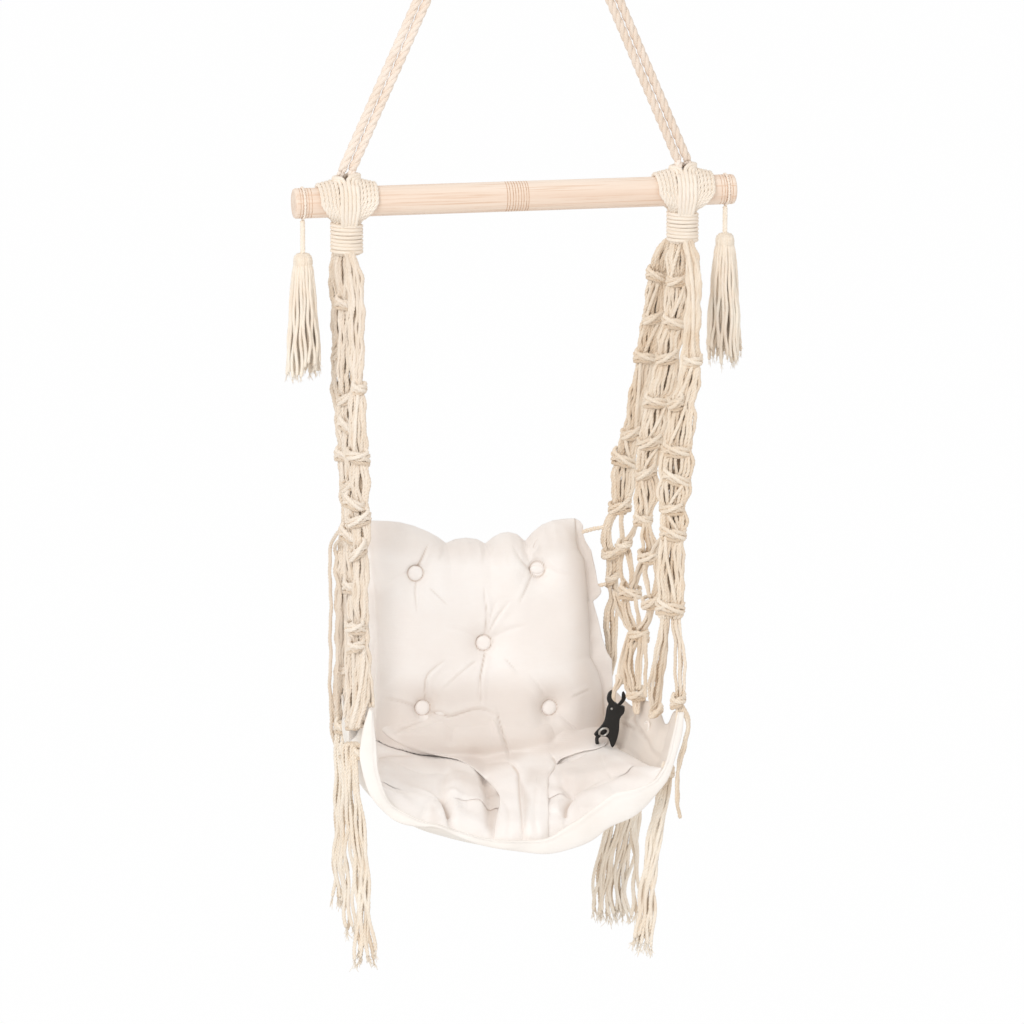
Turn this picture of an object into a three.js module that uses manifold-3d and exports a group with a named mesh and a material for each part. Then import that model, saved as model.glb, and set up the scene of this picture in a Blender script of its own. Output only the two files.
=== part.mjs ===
// Hammock chair: a small knotted-cord swing seat that hangs from a wooden bar.
// Millimetres, +Z up, X along the bar, -Y towards the sitter's feet.
// The origin is the inner top of the hanging ring, where an outside hook carries the whole chair.
import * as THREE from 'three';
import { mergeVertices } from 'three/addons/utils/BufferGeometryUtils.js';
import Module from 'manifold-3d';

const wasm = await Module();
wasm.setup();

// Clearances
const seatGap = 0.3;
const softGap = 0.9;

// Hanging ring
const ringRadius = 24;
const ringWire = 4;

// Suspension rope
const ropeRadius = 6;
const strandGap = 0.5;
const whippingTop = 66;
const whippingCord = 1.9;
const whippingTurns = 3;
const strandSpread = 1.09;
const biteRadius = 11.4;
const runShares = [0, 0.33, 0.66, 0.745, 0.83, 0.915, 1];
const twistShare = 0.34;
const domeAngles = [1.35, 0.7];
const hitchThickness = 6;

// Wooden bar
const barDrop = 618;
const barShift = -6;
const barLength = 600;
const barRadius = 20;
const barChamfer = 2.5;
const grooveDepth = 0.8;
const grooveWidth = 1.6;
const bandGrooves = 5;
const bandWidth = 27;
const tasselGrooveInset = 12;
const tasselGrooveDepth = 1.6;
const tasselGrooveWidth = 6.4;

// Cords over the bar and the wraps that gather them
const cordRadius = 3;
const fanHalfWidth = 41;
const fanCordsPerSide = 5;
const squeezedCordRadius = 1.8;
const fanHeap = 5;
const fanStations = [
  { drop: 18, inShare: 0.34, closeShare: 0.2 },
  { drop: 28, inShare: 1, closeShare: 1 },
];
const gatherAngles = [0.35, 1.2];
const gatherShare = 0.64;
const wrapSpan = 458;
const wrapDrop = 27;
const wrapTurns = 8;
const wrapCordRadius = 2.3;
const wrapPitch = 5.1;
const wrapRadiusX = 19.6;
const wrapRadiusY = 17.2;
const pivotRise = 40;

// Cord panels
const cornerDrop = 1281;
const frontReach = 188;
const rearReach = 92;
const frontInset = 11;
const rearInset = 43;
const seatShift = -44;
const sinnetRadius = 10.5;
const knotSwell = 3.6;
const sinnetNeck = 4.6;
const sinnetTopDrops = { front: 1.4, middle: 1.5, rear: 2.5 };
const sinnetEndDrop = 1153;
const netCordRadius = 3.2;
const netKnotRadius = 8;
const netKnotShare = 0.14;
const netTopDrop = 948;
const legRadius = 5;
const legFootShare = 0.8;

// Sling
const slingThickness = 3;
const hemDrop = 1458;
const hemBulge = 20;
const hemRadius = 6;
const eyeletEdgeDrop = 1326;
const rearEdgeDrop = 1294;
const backFootReach = 120;
const backFootDrop = 1380;
const backTopDrop = 1116;
const backTopReach = 128;
const backTopHalf = 160;

// Seat cushion, centre flap and back cushion
const seatCrown = 48;
const seatRim = 7;
const seatClear = 1.8;
const seatTuft = 17;
const flapThickness = 9;
const backWidth = 318;
const backHeight = 330;
const backCrown = 38;
const backRim = 8;
const backTuft = 20;
const backCentreDrop = 1234;
const backCentreReach = 68;
const backLean = 0.09;
const buttonRadius = 10;
const buttonThickness = 3.4;
const buttonSpread = 88;
const buttonRise = 96;
const tieRadius = 3;

// Eyelets
const eyeletRadius = 7;
const eyeletWire = 1.6;
const eyeletLift = 3;
const eyeletAlongShare = 0.26;
const eyeletInsetShare = 0.06;

// Fringes
const fringeDrop = 1636;
const fringeRadius = 4.2;
const fringeTopClear = 12;
const fringeKnotRadius = 9;
const fringeKnotLength = 27;
const fringeSpread = 34;
const fringeTopShare = 0.8;
const fringeStrands = 3;

// Tassels
const tasselCordRadius = 2.6;
const tasselHeadDrop = 56;
const tasselHeadLength = 16;
const tasselHeadRadius = 8.6;
const tasselWindRadius = 1.7;
const tasselWindTurns = 3;
const tasselSkirtLength = 152;
const tasselSkirtRadius = 23;
const skirtDropShares = [0, 0.12, 0.5, 1];
const skirtWideShares = [0, 0.42, 0.66, 1];
const skirtLevelShares = [0, 0.12, 0.4, 0.7, 1];
const fluteShare = 0.16;

// Snap hook
const hookClawRadius = 9.4;
const hookClawWire = 2.6;
const hookBodyLength = 42;
const hookWidth = 21;
const hookThickness = 8;
const hookTilt = 0.26;
const hookX = 136;
const hookY = -18;
const hookDrop = 1312;
const hookRivetRadius = 1;
const hookGateRadius = 2;
const hookEyeRadius = 8;
const hookEyeWire = 1.6;
const hookEyeHole = 3.2;
const loopCordRadius = 2.4;
const loopWhippingRadius = 5.6;
const loopWhippingLength = 15;
const loopNeckRise = 17.7;
const loopShift = -2.6;
const tailClear = 13.4;
const strapRadius = 2.2;
const strapLoopRadius = 3.4;
const strapLoopWire = 1.3;
const tabAcrossShare = 0.84;
const tabAlongShare = 0.6;
const tabClear = 0.8;
const gateSwing = 4;
const hookEyeLean = 0.9;

// Steps along the tubes, and the sides that each is drawn with
const wireSides = 6;
const fineSides = 5;
const cordSides = 6;
const thinSides = 4;
const roundSides = 8;
const ringSteps = 20;
const barSides = 18;
const wrapSteps = 13;
const whippingSteps = 12;
const bindingSteps = 9;
const coreSides = 12;
const hitchSteps = 10;
const biteSteps = 6;
const fanBendSteps = 4;
const sinnetSteps = 20;
const sinnetStations = 12;
const netSteps = 8;
const legSteps = 5;
const strandSteps = 4;
const tieSteps = 3;
const hemSteps = 22;
const eyeletSteps = 12;
const loopSteps = 18;
const buttonSides = 10;
const buttonSteps = 3;
const skirtRibs = 10;
const clawSteps = 12;
const pinSides = 12;
const eyeSteps = 14;
const loopBends = 4;
const hookLoopSteps = 11;
const clothSteps = [16, 12];
const seatSteps = [16, 11];
const flapSteps = [8, 9];
const backSteps = [13, 12];

const sides = { left: -1, right: 1 };
const turn = Math.PI * 2;
const quarter = Math.PI / 2;
const up = new THREE.Vector3(0, 0, 1);
const rightward = new THREE.Vector3(1, 0, 0);

const barZ = -barDrop;
const pivotZ = barZ + pivotRise;

function at(x, y, z) {
  return new THREE.Vector3(x, y, z);
}

function mix(a, b, share) {
  return a + (b - a) * share;
}

function smooth(share) {
  const t = Math.min(Math.max(share, 0), 1);
  return t * t * (3 - 2 * t);
}

// Looks a value up in a short table of shares that rise from 0 to 1.
function lookUp(shares, values, share) {
  const last = shares.length - 1;
  if (share <= shares[0]) return values[0];
  if (share >= shares[last]) return values[last];
  const next = shares.findIndex((s) => s > share);
  const part = (share - shares[next - 1]) / (shares[next] - shares[next - 1]);
  return mix(values[next - 1], values[next], smooth(part));
}

const finishes = {
  cotton: { color: 0xe9dcc5, roughness: 0.95, metalness: 0 },
  canvas: { color: 0xf3efe8, roughness: 0.92, metalness: 0 },
  ivory: { color: 0xefe9df, roughness: 0.9, metalness: 0 },
  wood: { color: 0xf0d2b2, roughness: 0.6, metalness: 0 },
  steel: { color: 0xb9bcbf, roughness: 0.3, metalness: 1 },
  black: { color: 0x17181a, roughness: 0.45, metalness: 0.2 },
};

const chair = new THREE.Group();

function add(name, geometry, finish) {
  const mesh = new THREE.Mesh(geometry, new THREE.MeshStandardMaterial(finishes[finish]));
  mesh.name = name;
  chair.add(mesh);
  return mesh;
}

// Only the places of the vertices are kept, so that shared corners merge.
function bare(geometry) {
  const plain = geometry.index ? geometry.toNonIndexed() : geometry;
  plain.deleteAttribute('normal');
  plain.deleteAttribute('uv');
  return plain;
}

function toSolid(geometry) {
  const merged = mergeVertices(bare(geometry));
  const vertProperties = new Float32Array(merged.attributes.position.array);
  const triVerts = new Uint32Array(merged.index.array);
  return new wasm.Manifold(new wasm.Mesh({ numProp: 3, vertProperties, triVerts }));
}

function fromSolid(solid) {
  const { vertProperties, triVerts } = solid.getMesh();
  const geometry = new THREE.BufferGeometry();
  geometry.setAttribute('position', new THREE.BufferAttribute(vertProperties, 3));
  geometry.setIndex(new THREE.BufferAttribute(triVerts, 1));
  return geometry;
}

function largest(solid) {
  return solid.decompose().reduce((most, piece) => (piece.volume() > most.volume() ? piece : most));
}

// Overlapping pieces of one sub-part become a single closed body.
function joined(geometries) {
  return fromSolid(geometries.map(toSolid).reduce((sum, solid) => sum.add(solid)));
}

function fromTriangles(points, faces) {
  const geometry = new THREE.BufferGeometry();
  const flat = faces.flatMap((face) => face.flatMap((k) => points[k].toArray()));
  geometry.setAttribute('position', new THREE.Float32BufferAttribute(flat, 3));
  return geometry;
}

// A closed tube whose rings stand square to a path, each with its own radius.
function pathTube(points, radii, sideCount) {
  const last = points.length - 1;
  const across = new THREE.Vector3();
  const vertices = [];
  points.forEach((point, i) => {
    const along = points[Math.min(i + 1, last)].clone().sub(points[Math.max(i - 1, 0)]).normalize();
    if (i === 0) across.copy(Math.abs(along.x) < Math.SQRT1_2 ? rightward : up);
    across.addScaledVector(along, -across.dot(along)).normalize();
    const other = along.clone().cross(across);
    for (let j = 0; j < sideCount; j += 1) {
      const angle = (turn * j) / sideCount;
      const place = point.clone().addScaledVector(across, radii[i] * Math.cos(angle));
      vertices.push(place.addScaledVector(other, radii[i] * Math.sin(angle)));
    }
  });
  return fromTriangles(vertices, tubeFaces(last, sideCount));
}

// A closed tube on a smooth curve through the points, with a radius that may change along it.
function swell(points, radiusAt, steps, sideCount) {
  const curve = new THREE.CatmullRomCurve3(points, false, 'centripetal');
  const places = curve.getSpacedPoints(steps);
  return pathTube(places, places.map((_, i) => radiusAt(i / steps)), sideCount);
}

// A closed tube with both ends rounded off as half balls.
function domedTube(points, radius, sideCount) {
  const cap = (end, next) => domeAngles.map((angle) => {
    const back = end.clone().sub(next).setLength(radius * Math.sin(angle));
    return { place: end.clone().add(back), radius: radius * Math.cos(angle) };
  });
  const last = points.length - 1;
  const rings = [
    ...cap(points[0], points[1]),
    ...points.map((place) => ({ place, radius })),
    ...cap(points[last], points[last - 1]).reverse(),
  ];
  return pathTube(rings.map((ring) => ring.place), rings.map((ring) => ring.radius), sideCount);
}

function tubeFaces(steps, sideCount) {
  const faces = [];
  for (let i = 0; i < steps; i += 1) {
    for (let j = 0; j < sideCount; j += 1) {
      const a = i * sideCount + j;
      const b = i * sideCount + ((j + 1) % sideCount);
      faces.push([a, b, a + sideCount], [b, b + sideCount, a + sideCount]);
    }
  }
  const end = steps * sideCount;
  for (let j = 1; j < sideCount - 1; j += 1) {
    faces.push([0, j + 1, j], [end, end + j, end + j + 1]);
  }
  return faces;
}

function cord(points, radius, steps, sideCount) {
  return swell(points, () => radius, steps, sideCount);
}

// A closed shell between two grids of points, low and high, each a function of two shares.
function slab(low, high, acrossSteps, alongSteps) {
  const points = [];
  const row = acrossSteps + 1;
  const layer = row * (alongSteps + 1);
  [low, high].forEach((place) => {
    for (let j = 0; j <= alongSteps; j += 1) {
      for (let i = 0; i <= acrossSteps; i += 1) {
        points.push(place(i / acrossSteps, j / alongSteps));
      }
    }
  });
  const faces = [];
  const quad = (a, b, c, d) => faces.push([a, b, c], [a, c, d]);
  for (let j = 0; j < alongSteps; j += 1) {
    for (let i = 0; i < acrossSteps; i += 1) {
      const k = j * row + i;
      quad(k, k + row, k + row + 1, k + 1);
      quad(layer + k, layer + k + 1, layer + k + row + 1, layer + k + row);
    }
  }
  const rim = [];
  for (let i = 0; i < acrossSteps; i += 1) rim.push(i);
  for (let j = 0; j < alongSteps; j += 1) rim.push(j * row + acrossSteps);
  for (let i = acrossSteps; i > 0; i -= 1) rim.push(alongSteps * row + i);
  for (let j = alongSteps; j > 0; j -= 1) rim.push(j * row);
  rim.forEach((k, n) => {
    const next = rim[(n + 1) % rim.length];
    quad(k, next, layer + next, layer + k);
  });
  return fromTriangles(points, faces);
}

// A winding as one unbroken tube: turns laid at a steady pitch round an oval.
function winding(name, { centre, radiusX, radiusY, turns, pitch, tubeRadius, stepsPerTurn }) {
  const steps = turns * stepsPerTurn;
  const points = [];
  for (let i = 0; i <= steps; i += 1) {
    const angle = (turn * i) / stepsPerTurn;
    const drop = (pitch * i) / stepsPerTurn;
    points.push(centre.clone().add(at(radiusX * Math.cos(angle), radiusY * Math.sin(angle), -drop)));
  }
  printLeastGap(points, stepsPerTurn, tubeRadius, name);
  return windingTube(points, tubeRadius, thinSides);
}

// Each ring of the tube stands in a plane through the winding's axis, so the turns stay evenly apart.
function windingTube(points, tubeRadius, sideCount) {
  const last = points.length - 1;
  const vertices = [];
  points.forEach((point, i) => {
    const before = points[Math.max(i - 1, 0)];
    const after = points[Math.min(i + 1, last)];
    const along = after.clone().sub(before).normalize();
    const outward = along.clone().cross(up).normalize();
    const upward = outward.clone().cross(along).normalize();
    for (let j = 0; j < sideCount; j += 1) {
      const angle = (turn * (j + 1 / 2)) / sideCount;
      const offset = outward.clone().multiplyScalar(-tubeRadius * Math.cos(angle));
      vertices.push(point.clone().add(offset).addScaledVector(upward, tubeRadius * Math.sin(angle)));
    }
  });
  return fromTriangles(vertices, tubeFaces(last, sideCount));
}

function printLeastGap(points, stepsPerTurn, tubeRadius, name) {
  let least = Infinity;
  const apart = Math.round((stepsPerTurn * 2) / 3);
  for (let i = 0; i < points.length; i += 1) {
    for (let k = i + apart; k < points.length; k += 1) {
      least = Math.min(least, points[i].distanceTo(points[k]));
    }
  }
  console.log(`${name}: least gap to itself ${(least - 2 * tubeRadius).toFixed(2)} mm`);
}

// Hanging ring and the ropes
const ringCentreZ = ringWire - ringRadius;
const strandOffset = ropeRadius + strandGap / 2;
const biteZ = ringCentreZ - Math.sqrt(ringRadius ** 2 - strandOffset ** 2);
const whippingLength = whippingTurns * (2 * whippingCord + strandGap) + 2 * whippingCord;
const whippingEndZ = -whippingTop - whippingLength;

function wrapX(side) {
  return barShift + (side * wrapSpan) / 2;
}

function makeRing() {
  const ring = new THREE.TorusGeometry(ringRadius, ringWire, wireSides, ringSteps);
  ring.rotateX(Math.PI / 2);
  ring.translate(0, 0, ringCentreZ);
  add('hanging_ring', bare(ring), 'steel');
}

// The two strands of a rope end side by side over the bar and turn a quarter to lie one before the other.
function strandPoints(side, strand) {
  const top = at(side * strandOffset, 0, whippingEndZ);
  const pivot = at(wrapX(side), 0, pivotZ);
  return runShares.map((share) => {
    const place = pivot.clone().lerp(top, share);
    const angle = smooth((share - 1 + twistShare) / twistShare) * quarter;
    place.x += strand * strandOffset * strandSpread * Math.cos(angle);
    place.y -= strand * side * strandOffset * Math.sin(angle);
    return place;
  });
}

// One strand runs up from the bar, over the ring's lowest part and down again as the other strand.
function ropePoints(side) {
  const outer = strandPoints(side, side);
  const inner = strandPoints(side, -side);
  const firstY = outer[outer.length - 1].y;
  const x = side * strandOffset;
  const way = Math.sign(firstY);
  const bend = Array.from({ length: biteSteps + 1 }, (_, step) => {
    const angle = (Math.PI * step) / biteSteps;
    return at(x, way * biteRadius * Math.cos(angle), biteZ + biteRadius * Math.sin(angle));
  });
  const neck = (y) => at(x, y, -whippingTop);
  return [...outer, neck(firstY), ...bend, neck(-firstY), ...inner.reverse()];
}

function makeRope(name, side) {
  add(`${name}_rope`, domedTube(ropePoints(side), ropeRadius, cordSides), 'cotton');
}

// The rope's bight lies round the bar between the cords: down its rear, under it and up its front.
// It is pressed flat there, and its two legs end just short of the bend where the rope takes over.
function hitchStations(side) {
  const laid = barRadius + seatGap + hitchThickness / 2;
  const tangent = Math.acos(laid / pivotRise);
  const legLength = Math.sqrt(pivotRise ** 2 - laid ** 2);
  const startShare = (ropeRadius + seatGap) / legLength;
  const legShares = [startShare, mix(startShare, 1, 1 / 2)];
  const apartX = strandOffset * strandSpread * side;
  const bow = laid / Math.cos((Math.PI - tangent) / hitchSteps);
  const leg = (angle, share) => ({
    x: apartX * Math.sign(Math.PI - angle),
    y: mix(0, laid * Math.sin(angle), share),
    z: mix(pivotZ, barZ + laid * Math.cos(angle), share),
    angle,
    half: mix(ropeRadius, hitchThickness / 2, smooth(share)),
  });
  const arc = Array.from({ length: hitchSteps + 1 }, (_, i) => {
    const angle = mix(tangent, turn - tangent, i / hitchSteps);
    return {
      x: apartX * mix(1, -1, i / hitchSteps),
      y: bow * Math.sin(angle),
      z: barZ + bow * Math.cos(angle),
      angle,
      half: hitchThickness / 2,
    };
  });
  const down = legShares.map((share) => leg(tangent, share));
  const upward = legShares.map((share) => leg(turn - tangent, share)).reverse();
  return [...down, ...arc, ...upward];
}

function makeHitch(name, side) {
  const stations = hitchStations(side);
  const corners = Array.from({ length: cordSides }, (_, j) => (turn * j) / cordSides);
  const vertices = stations.flatMap(({ x, y, z, angle, half }) => corners.map((corner) => {
    const lift = -half * Math.sin(corner);
    const across = wrapX(side) + x + ropeRadius * Math.cos(corner);
    return at(across, y + lift * Math.sin(angle), z + lift * Math.cos(angle));
  }));
  const faces = tubeFaces(stations.length - 1, cordSides);
  add(`${name}_rope_hitch`, fromTriangles(vertices, faces), 'cotton');
}

function makeTopWhipping() {
  const round = strandOffset * Math.SQRT2 + ropeRadius + seatGap + whippingCord;
  const pitch = 2 * whippingCord + strandGap;
  const centre = at(0, 0, -whippingTop - whippingCord);
  const coil = winding('top_whipping', {
    centre,
    radiusX: round,
    radiusY: round,
    turns: whippingTurns,
    pitch,
    tubeRadius: whippingCord,
    stepsPerTurn: whippingSteps,
  });
  add('top_whipping', coil, 'cotton');
}

// Wooden bar
function barProfile() {
  const half = barLength / 2;
  const profile = [[0, -half], [barRadius - barChamfer, -half], [barRadius, -half + barChamfer]];
  const groove = (centre, depth, width) => {
    profile.push([barRadius, centre - width / 2], [barRadius - depth, centre - width / 4]);
    profile.push([barRadius - depth, centre + width / 4], [barRadius, centre + width / 2]);
  };
  groove(-half + tasselGrooveInset, tasselGrooveDepth, tasselGrooveWidth);
  for (let i = 0; i < bandGrooves; i += 1) {
    const centre = bandWidth * (i / (bandGrooves - 1) - 1 / 2);
    profile.push([barRadius, centre - grooveWidth / 2], [barRadius - grooveDepth, centre]);
    profile.push([barRadius, centre + grooveWidth / 2]);
  }
  groove(half - tasselGrooveInset, tasselGrooveDepth, tasselGrooveWidth);
  profile.push([barRadius, half - barChamfer], [barRadius - barChamfer, half], [0, half]);
  return profile.map(([r, along]) => new THREE.Vector2(r, along));
}

function makeBar() {
  const bar = new THREE.LatheGeometry(barProfile(), barSides);
  bar.rotateZ(-Math.PI / 2);
  bar.translate(barShift, 0, barZ);
  add('wooden_bar', bare(bar), 'wood');
}

// Cords over the bar: each lies over it, leaves it at half height and goes down into the wrap
function fanPoints(centreX, way, share) {
  const inner = strandOffset * (1 + strandSpread) + cordRadius + seatGap;
  const offset = mix(inner, fanHalfWidth - cordRadius, share);
  const heap = fanHeap * (1 - share);
  const laid = (barRadius + seatGap + cordRadius) / Math.cos(quarter / fanBendSteps);
  const bend = Array.from({ length: fanBendSteps + 1 }, (_, i) => {
    const angle = Math.PI * (i / fanBendSteps - 1 / 2);
    const rise = (laid + heap * Math.cos(angle)) * Math.cos(angle);
    return at(centreX + way * offset, laid * Math.sin(angle), barZ + rise);
  });
  const gather = mix(gatherAngles[0], gatherAngles[1], share);
  const gatherX = gatherShare * wrapRadiusX * Math.sin(gather);
  const gatherY = gatherShare * wrapRadiusY * Math.cos(gather);
  const foot = (front) => fanStations.map(({ drop, inShare, closeShare }) => at(
    centreX + way * mix(offset, gatherX, inShare),
    front * mix(laid, gatherY, closeShare),
    barZ - drop,
  ));
  return [...foot(-1).reverse(), ...bend, ...foot(1)];
}

function makeFan(name, side) {
  const cords = [];
  for (let k = 0; k < fanCordsPerSide; k += 1) {
    const share = k / (fanCordsPerSide - 1);
    [-1, 1].forEach((way) => {
      const points = fanPoints(wrapX(side), way, share);
      const far = (points.length - 1) / 2;
      const radii = points.map((_, i) => {
        const low = Math.max(Math.abs(i - far) - far + 2, 0) / 2;
        return mix(cordRadius, squeezedCordRadius, low);
      });
      cords.push(pathTube(points, radii, thinSides));
    });
  }
  add(`${name}_bar_cords`, joined([...cords, gatheredCore(side)]), 'cotton');
}

const wrapTopZ = barZ - wrapDrop;
const wrapBottomZ = wrapTopZ - wrapTurns * wrapPitch - 2 * wrapCordRadius;

function makeWrap(name, side) {
  const centre = at(wrapX(side), 0, wrapTopZ - wrapCordRadius);
  const coil = winding(`${name}_wrap`, {
    centre,
    radiusX: wrapRadiusX,
    radiusY: wrapRadiusY,
    turns: wrapTurns,
    pitch: wrapPitch,
    tubeRadius: wrapCordRadius,
    stepsPerTurn: wrapSteps,
  });
  add(`${name}_wrap`, coil, 'cotton');
}

// The gathered cords inside the wrap, which the three sinnets of the panel leave at its foot.
function gatheredCore(side) {
  const top = barZ - barRadius - hitchThickness - 3 * seatGap;
  const inside = wrapRadiusX - wrapCordRadius - softGap;
  const oval = (wrapRadiusY - wrapCordRadius - softGap) / inside;
  const core = new THREE.CylinderGeometry(inside, inside, top - wrapBottomZ, coreSides, 1);
  core.rotateX(Math.PI / 2);
  core.scale(1, oval, 1);
  core.translate(wrapX(side), 0, mix(top, wrapBottomZ, 1 / 2));
  return core;
}

// Cord panels: a place on a panel from how far it is towards the rear, and its height
const panelHeightShares = [0, 0.07, 0.2, 0.34, 0.6, 1];
const panelSpreadShares = [0.075, 0.26, 0.5, 0.68, 0.84, 1];
const panelTopZ = wrapBottomZ;

function panelShare(z) {
  return (panelTopZ - z) / (panelTopZ + cornerDrop);
}

function seatCentreX(z) {
  return mix(barShift, seatShift, Math.sqrt(Math.min(Math.max(panelShare(z), 0), 1)));
}

function panelPoint(side, rearShare, z) {
  const spread = lookUp(panelHeightShares, panelSpreadShares, panelShare(z));
  const y = mix(-frontReach, rearReach, rearShare) * spread;
  const inset = mix(frontInset, rearInset, rearShare) * spread;
  return at(seatCentreX(z) + side * (wrapSpan / 2 - inset), y, z);
}

const columnShares = { front: 0, middle: 0.55, rear: 1 };
const knotWideShare = 0.035;
const neckShare = 0.1;
const knotShares = {
  front: [0.14, 0.3, 0.44, 0.62, 0.82, 0.97],
  middle: [0.1, 0.26, 0.42, 0.58, 0.74, 0.95],
  rear: [0.12, 0.34, 0.52, 0.7, 0.86],
};

function sinnetRadiusAt(column, share) {
  const knots = knotShares[column];
  const bump = knots.reduce((sum, knot) => sum + Math.exp(-(((share - knot) / knotWideShare) ** 2)), 0);
  return mix(sinnetNeck, sinnetRadius + knotSwell * Math.min(bump, 1), smooth(share / neckShare));
}

function makeSinnet(name, side, column) {
  const points = [];
  const topZ = panelTopZ - sinnetTopDrops[column];
  for (let i = 0; i <= sinnetStations; i += 1) {
    const z = mix(topZ, -sinnetEndDrop, i / sinnetStations);
    points.push(panelPoint(side, columnShares[column], z));
  }
  const body = swell(points, (share) => sinnetRadiusAt(column, share), sinnetSteps, cordSides);
  const legs = cornerLegs.filter((leg) => leg.column === column).map((leg) => cornerLeg(side, leg));
  const net = column === 'middle' ? netRows.map((row) => netCord(side, row)) : [];
  add(`${name}_${column}_sinnet`, joined([body, ...legs, ...net]), 'cotton');
}

// Net cords: each hangs between the middle sinnet and a neighbour as a V with a knot at its foot.
const netRows = [
  { from: 'rear', to: 'middle', topShare: 0.36, dropShare: 0.34 },
  { from: 'middle', to: 'front', topShare: 0.3, dropShare: 0.34 },
  { from: 'rear', to: 'middle', topShare: 0.66, dropShare: 0.28 },
  { from: 'middle', to: 'front', topShare: 0.6, dropShare: 0.3 },
];
function netPoints(side, row) {
  const span = sinnetEndDrop - netTopDrop;
  const topZ = -netTopDrop - span * row.topShare;
  const footZ = topZ - span * row.dropShare;
  const clear = sinnetRadius + knotSwell + netCordRadius + seatGap;
  const edge = (column, toward) => {
    const place = panelPoint(side, columnShares[column], topZ);
    const away = column === 'middle' ? sinnetRadius - netCordRadius : clear;
    return place.add(panelPoint(side, columnShares[toward], topZ).sub(place).setLength(away));
  };
  const a = edge(row.from, row.to);
  const b = edge(row.to, row.from);
  const middleShare = mix(columnShares[row.from], columnShares[row.to], 1 / 2);
  const foot = panelPoint(side, middleShare, footZ);
  const nearFoot = (top) => foot.clone().lerp(top, 1 / 4);
  return [a, a.clone().lerp(foot, 1 / 2), nearFoot(a), foot, nearFoot(b), b.clone().lerp(foot, 1 / 2), b];
}

function netCord(side, row) {
  const fromKnot = (share) => smooth(Math.abs(share - 1 / 2) / netKnotShare);
  const radiusAt = (share) => mix(netKnotRadius, netCordRadius, fromKnot(share));
  return swell(netPoints(side, row), radiusAt, netSteps, thinSides);
}

// Sling: rows from the front hem to the top of the back, each an upright half oval that flattens
const slingRowShares = [0, 0.16, 0.36, 0.52, 0.66, 0.82, 1];
const seatFloorZ = -hemDrop;
const nearY = mix(-frontReach, rearReach, 0.23);
const farY = mix(-frontReach, rearReach, 0.64);
const frontHalf = wrapSpan / 2 - frontInset;
const rearHalf = wrapSpan / 2 - rearInset;
const middleHalf = mix(frontHalf, rearHalf, 1 / 2);
const backHalf = mix(rearHalf, backTopHalf, 1 / 2);
const backMiddleZ = -mix(backFootDrop, backTopDrop, 1 / 2);
const backRimY = backTopReach + hemBulge / 2;
const slingRows = {
  half: [frontHalf, frontHalf, middleHalf, rearHalf, rearHalf - slingThickness, backHalf, backTopHalf],
  edgeY: [-frontReach, nearY, farY, rearReach - hemBulge, rearReach + hemBulge, backTopReach, backTopReach],
  middleY: [-frontReach - hemBulge, nearY, farY, rearReach - hemBulge, backFootReach, backRimY, backRimY],
  edgeZ: [
    -cornerDrop,
    -mix(cornerDrop, eyeletEdgeDrop, 2 / 3),
    -eyeletEdgeDrop,
    -rearEdgeDrop,
    -rearEdgeDrop,
    backMiddleZ,
    -backTopDrop,
  ],
  middleZ: [
    seatFloorZ,
    seatFloorZ,
    seatFloorZ + hemBulge / 2,
    -mix(hemDrop, backFootDrop, 1 / 3),
    -backFootDrop,
    backMiddleZ,
    -backTopDrop,
  ],
};
const sagPower = 0.84;

function slingPoint(across, along) {
  const value = (row) => lookUp(slingRowShares, slingRows[row], along);
  const angle = (across - 1 / 2) * Math.PI;
  const sag = Math.max(Math.cos(angle), 0) ** sagPower;
  const y = mix(value('edgeY'), value('middleY'), sag);
  const z = mix(value('edgeZ'), value('middleZ'), sag);
  return at(seatShift + value('half') * Math.sin(angle), y, z);
}

// The way up out of the sling's face, towards the sitter.
function slingNormal(across, along) {
  const stepShare = 0.01;
  const a = Math.min(Math.max(across, 2 * stepShare), 1 - 2 * stepShare);
  const b = Math.min(Math.max(along, stepShare), 1 - stepShare);
  const overX = slingPoint(a + stepShare, b).sub(slingPoint(a - stepShare, b));
  const overY = slingPoint(a, b + stepShare).sub(slingPoint(a, b - stepShare));
  return overX.cross(overY).normalize();
}

function above(across, along, height) {
  return slingPoint(across, along).addScaledVector(slingNormal(across, along), height);
}

const slingEndShare = 0.02;

// The cloth between two heights from its middle, both counted towards the sitter.
function slingShape(lowHeight, highHeight) {
  const u = (share) => mix(slingEndShare, 1 - slingEndShare, share);
  const low = (a, b) => above(u(a), b, lowHeight);
  const high = (a, b) => above(u(a), b, highHeight);
  return slab(low, high, ...clothSteps);
}

function makeSling() {
  add('canvas_sling', slingShape(-slingThickness / 2, slingThickness / 2), 'canvas');
}

// The turned hem: a soft roll along the sling's front edge.
function makeHem() {
  const points = [];
  for (let i = 0; i <= hemSteps; i += 1) {
    const across = mix(2 * slingEndShare, 1 - 2 * slingEndShare, i / hemSteps);
    const place = slingPoint(across, 0);
    points.push(place.add(at(0, -hemRadius - seatGap, 0)));
  }
  add('front_hem', cord(points, hemRadius, hemSteps, cordSides), 'canvas');
}

// Seat cushion: crowned, drawn in at its tufts and along the channel under the centre flap
const seatAcrossShares = [0.13, 0.87];
const seatAlongShares = [0.045, 0.5];
const seatTuftShares = [[0.22, 0.3], [0.22, 0.72], [0.78, 0.3], [0.78, 0.72]];
const channelShare = 0.5;
const crownPower = 0.42;
const tuftWideShare = 0.09;
const channelWideShare = 0.07;

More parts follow.
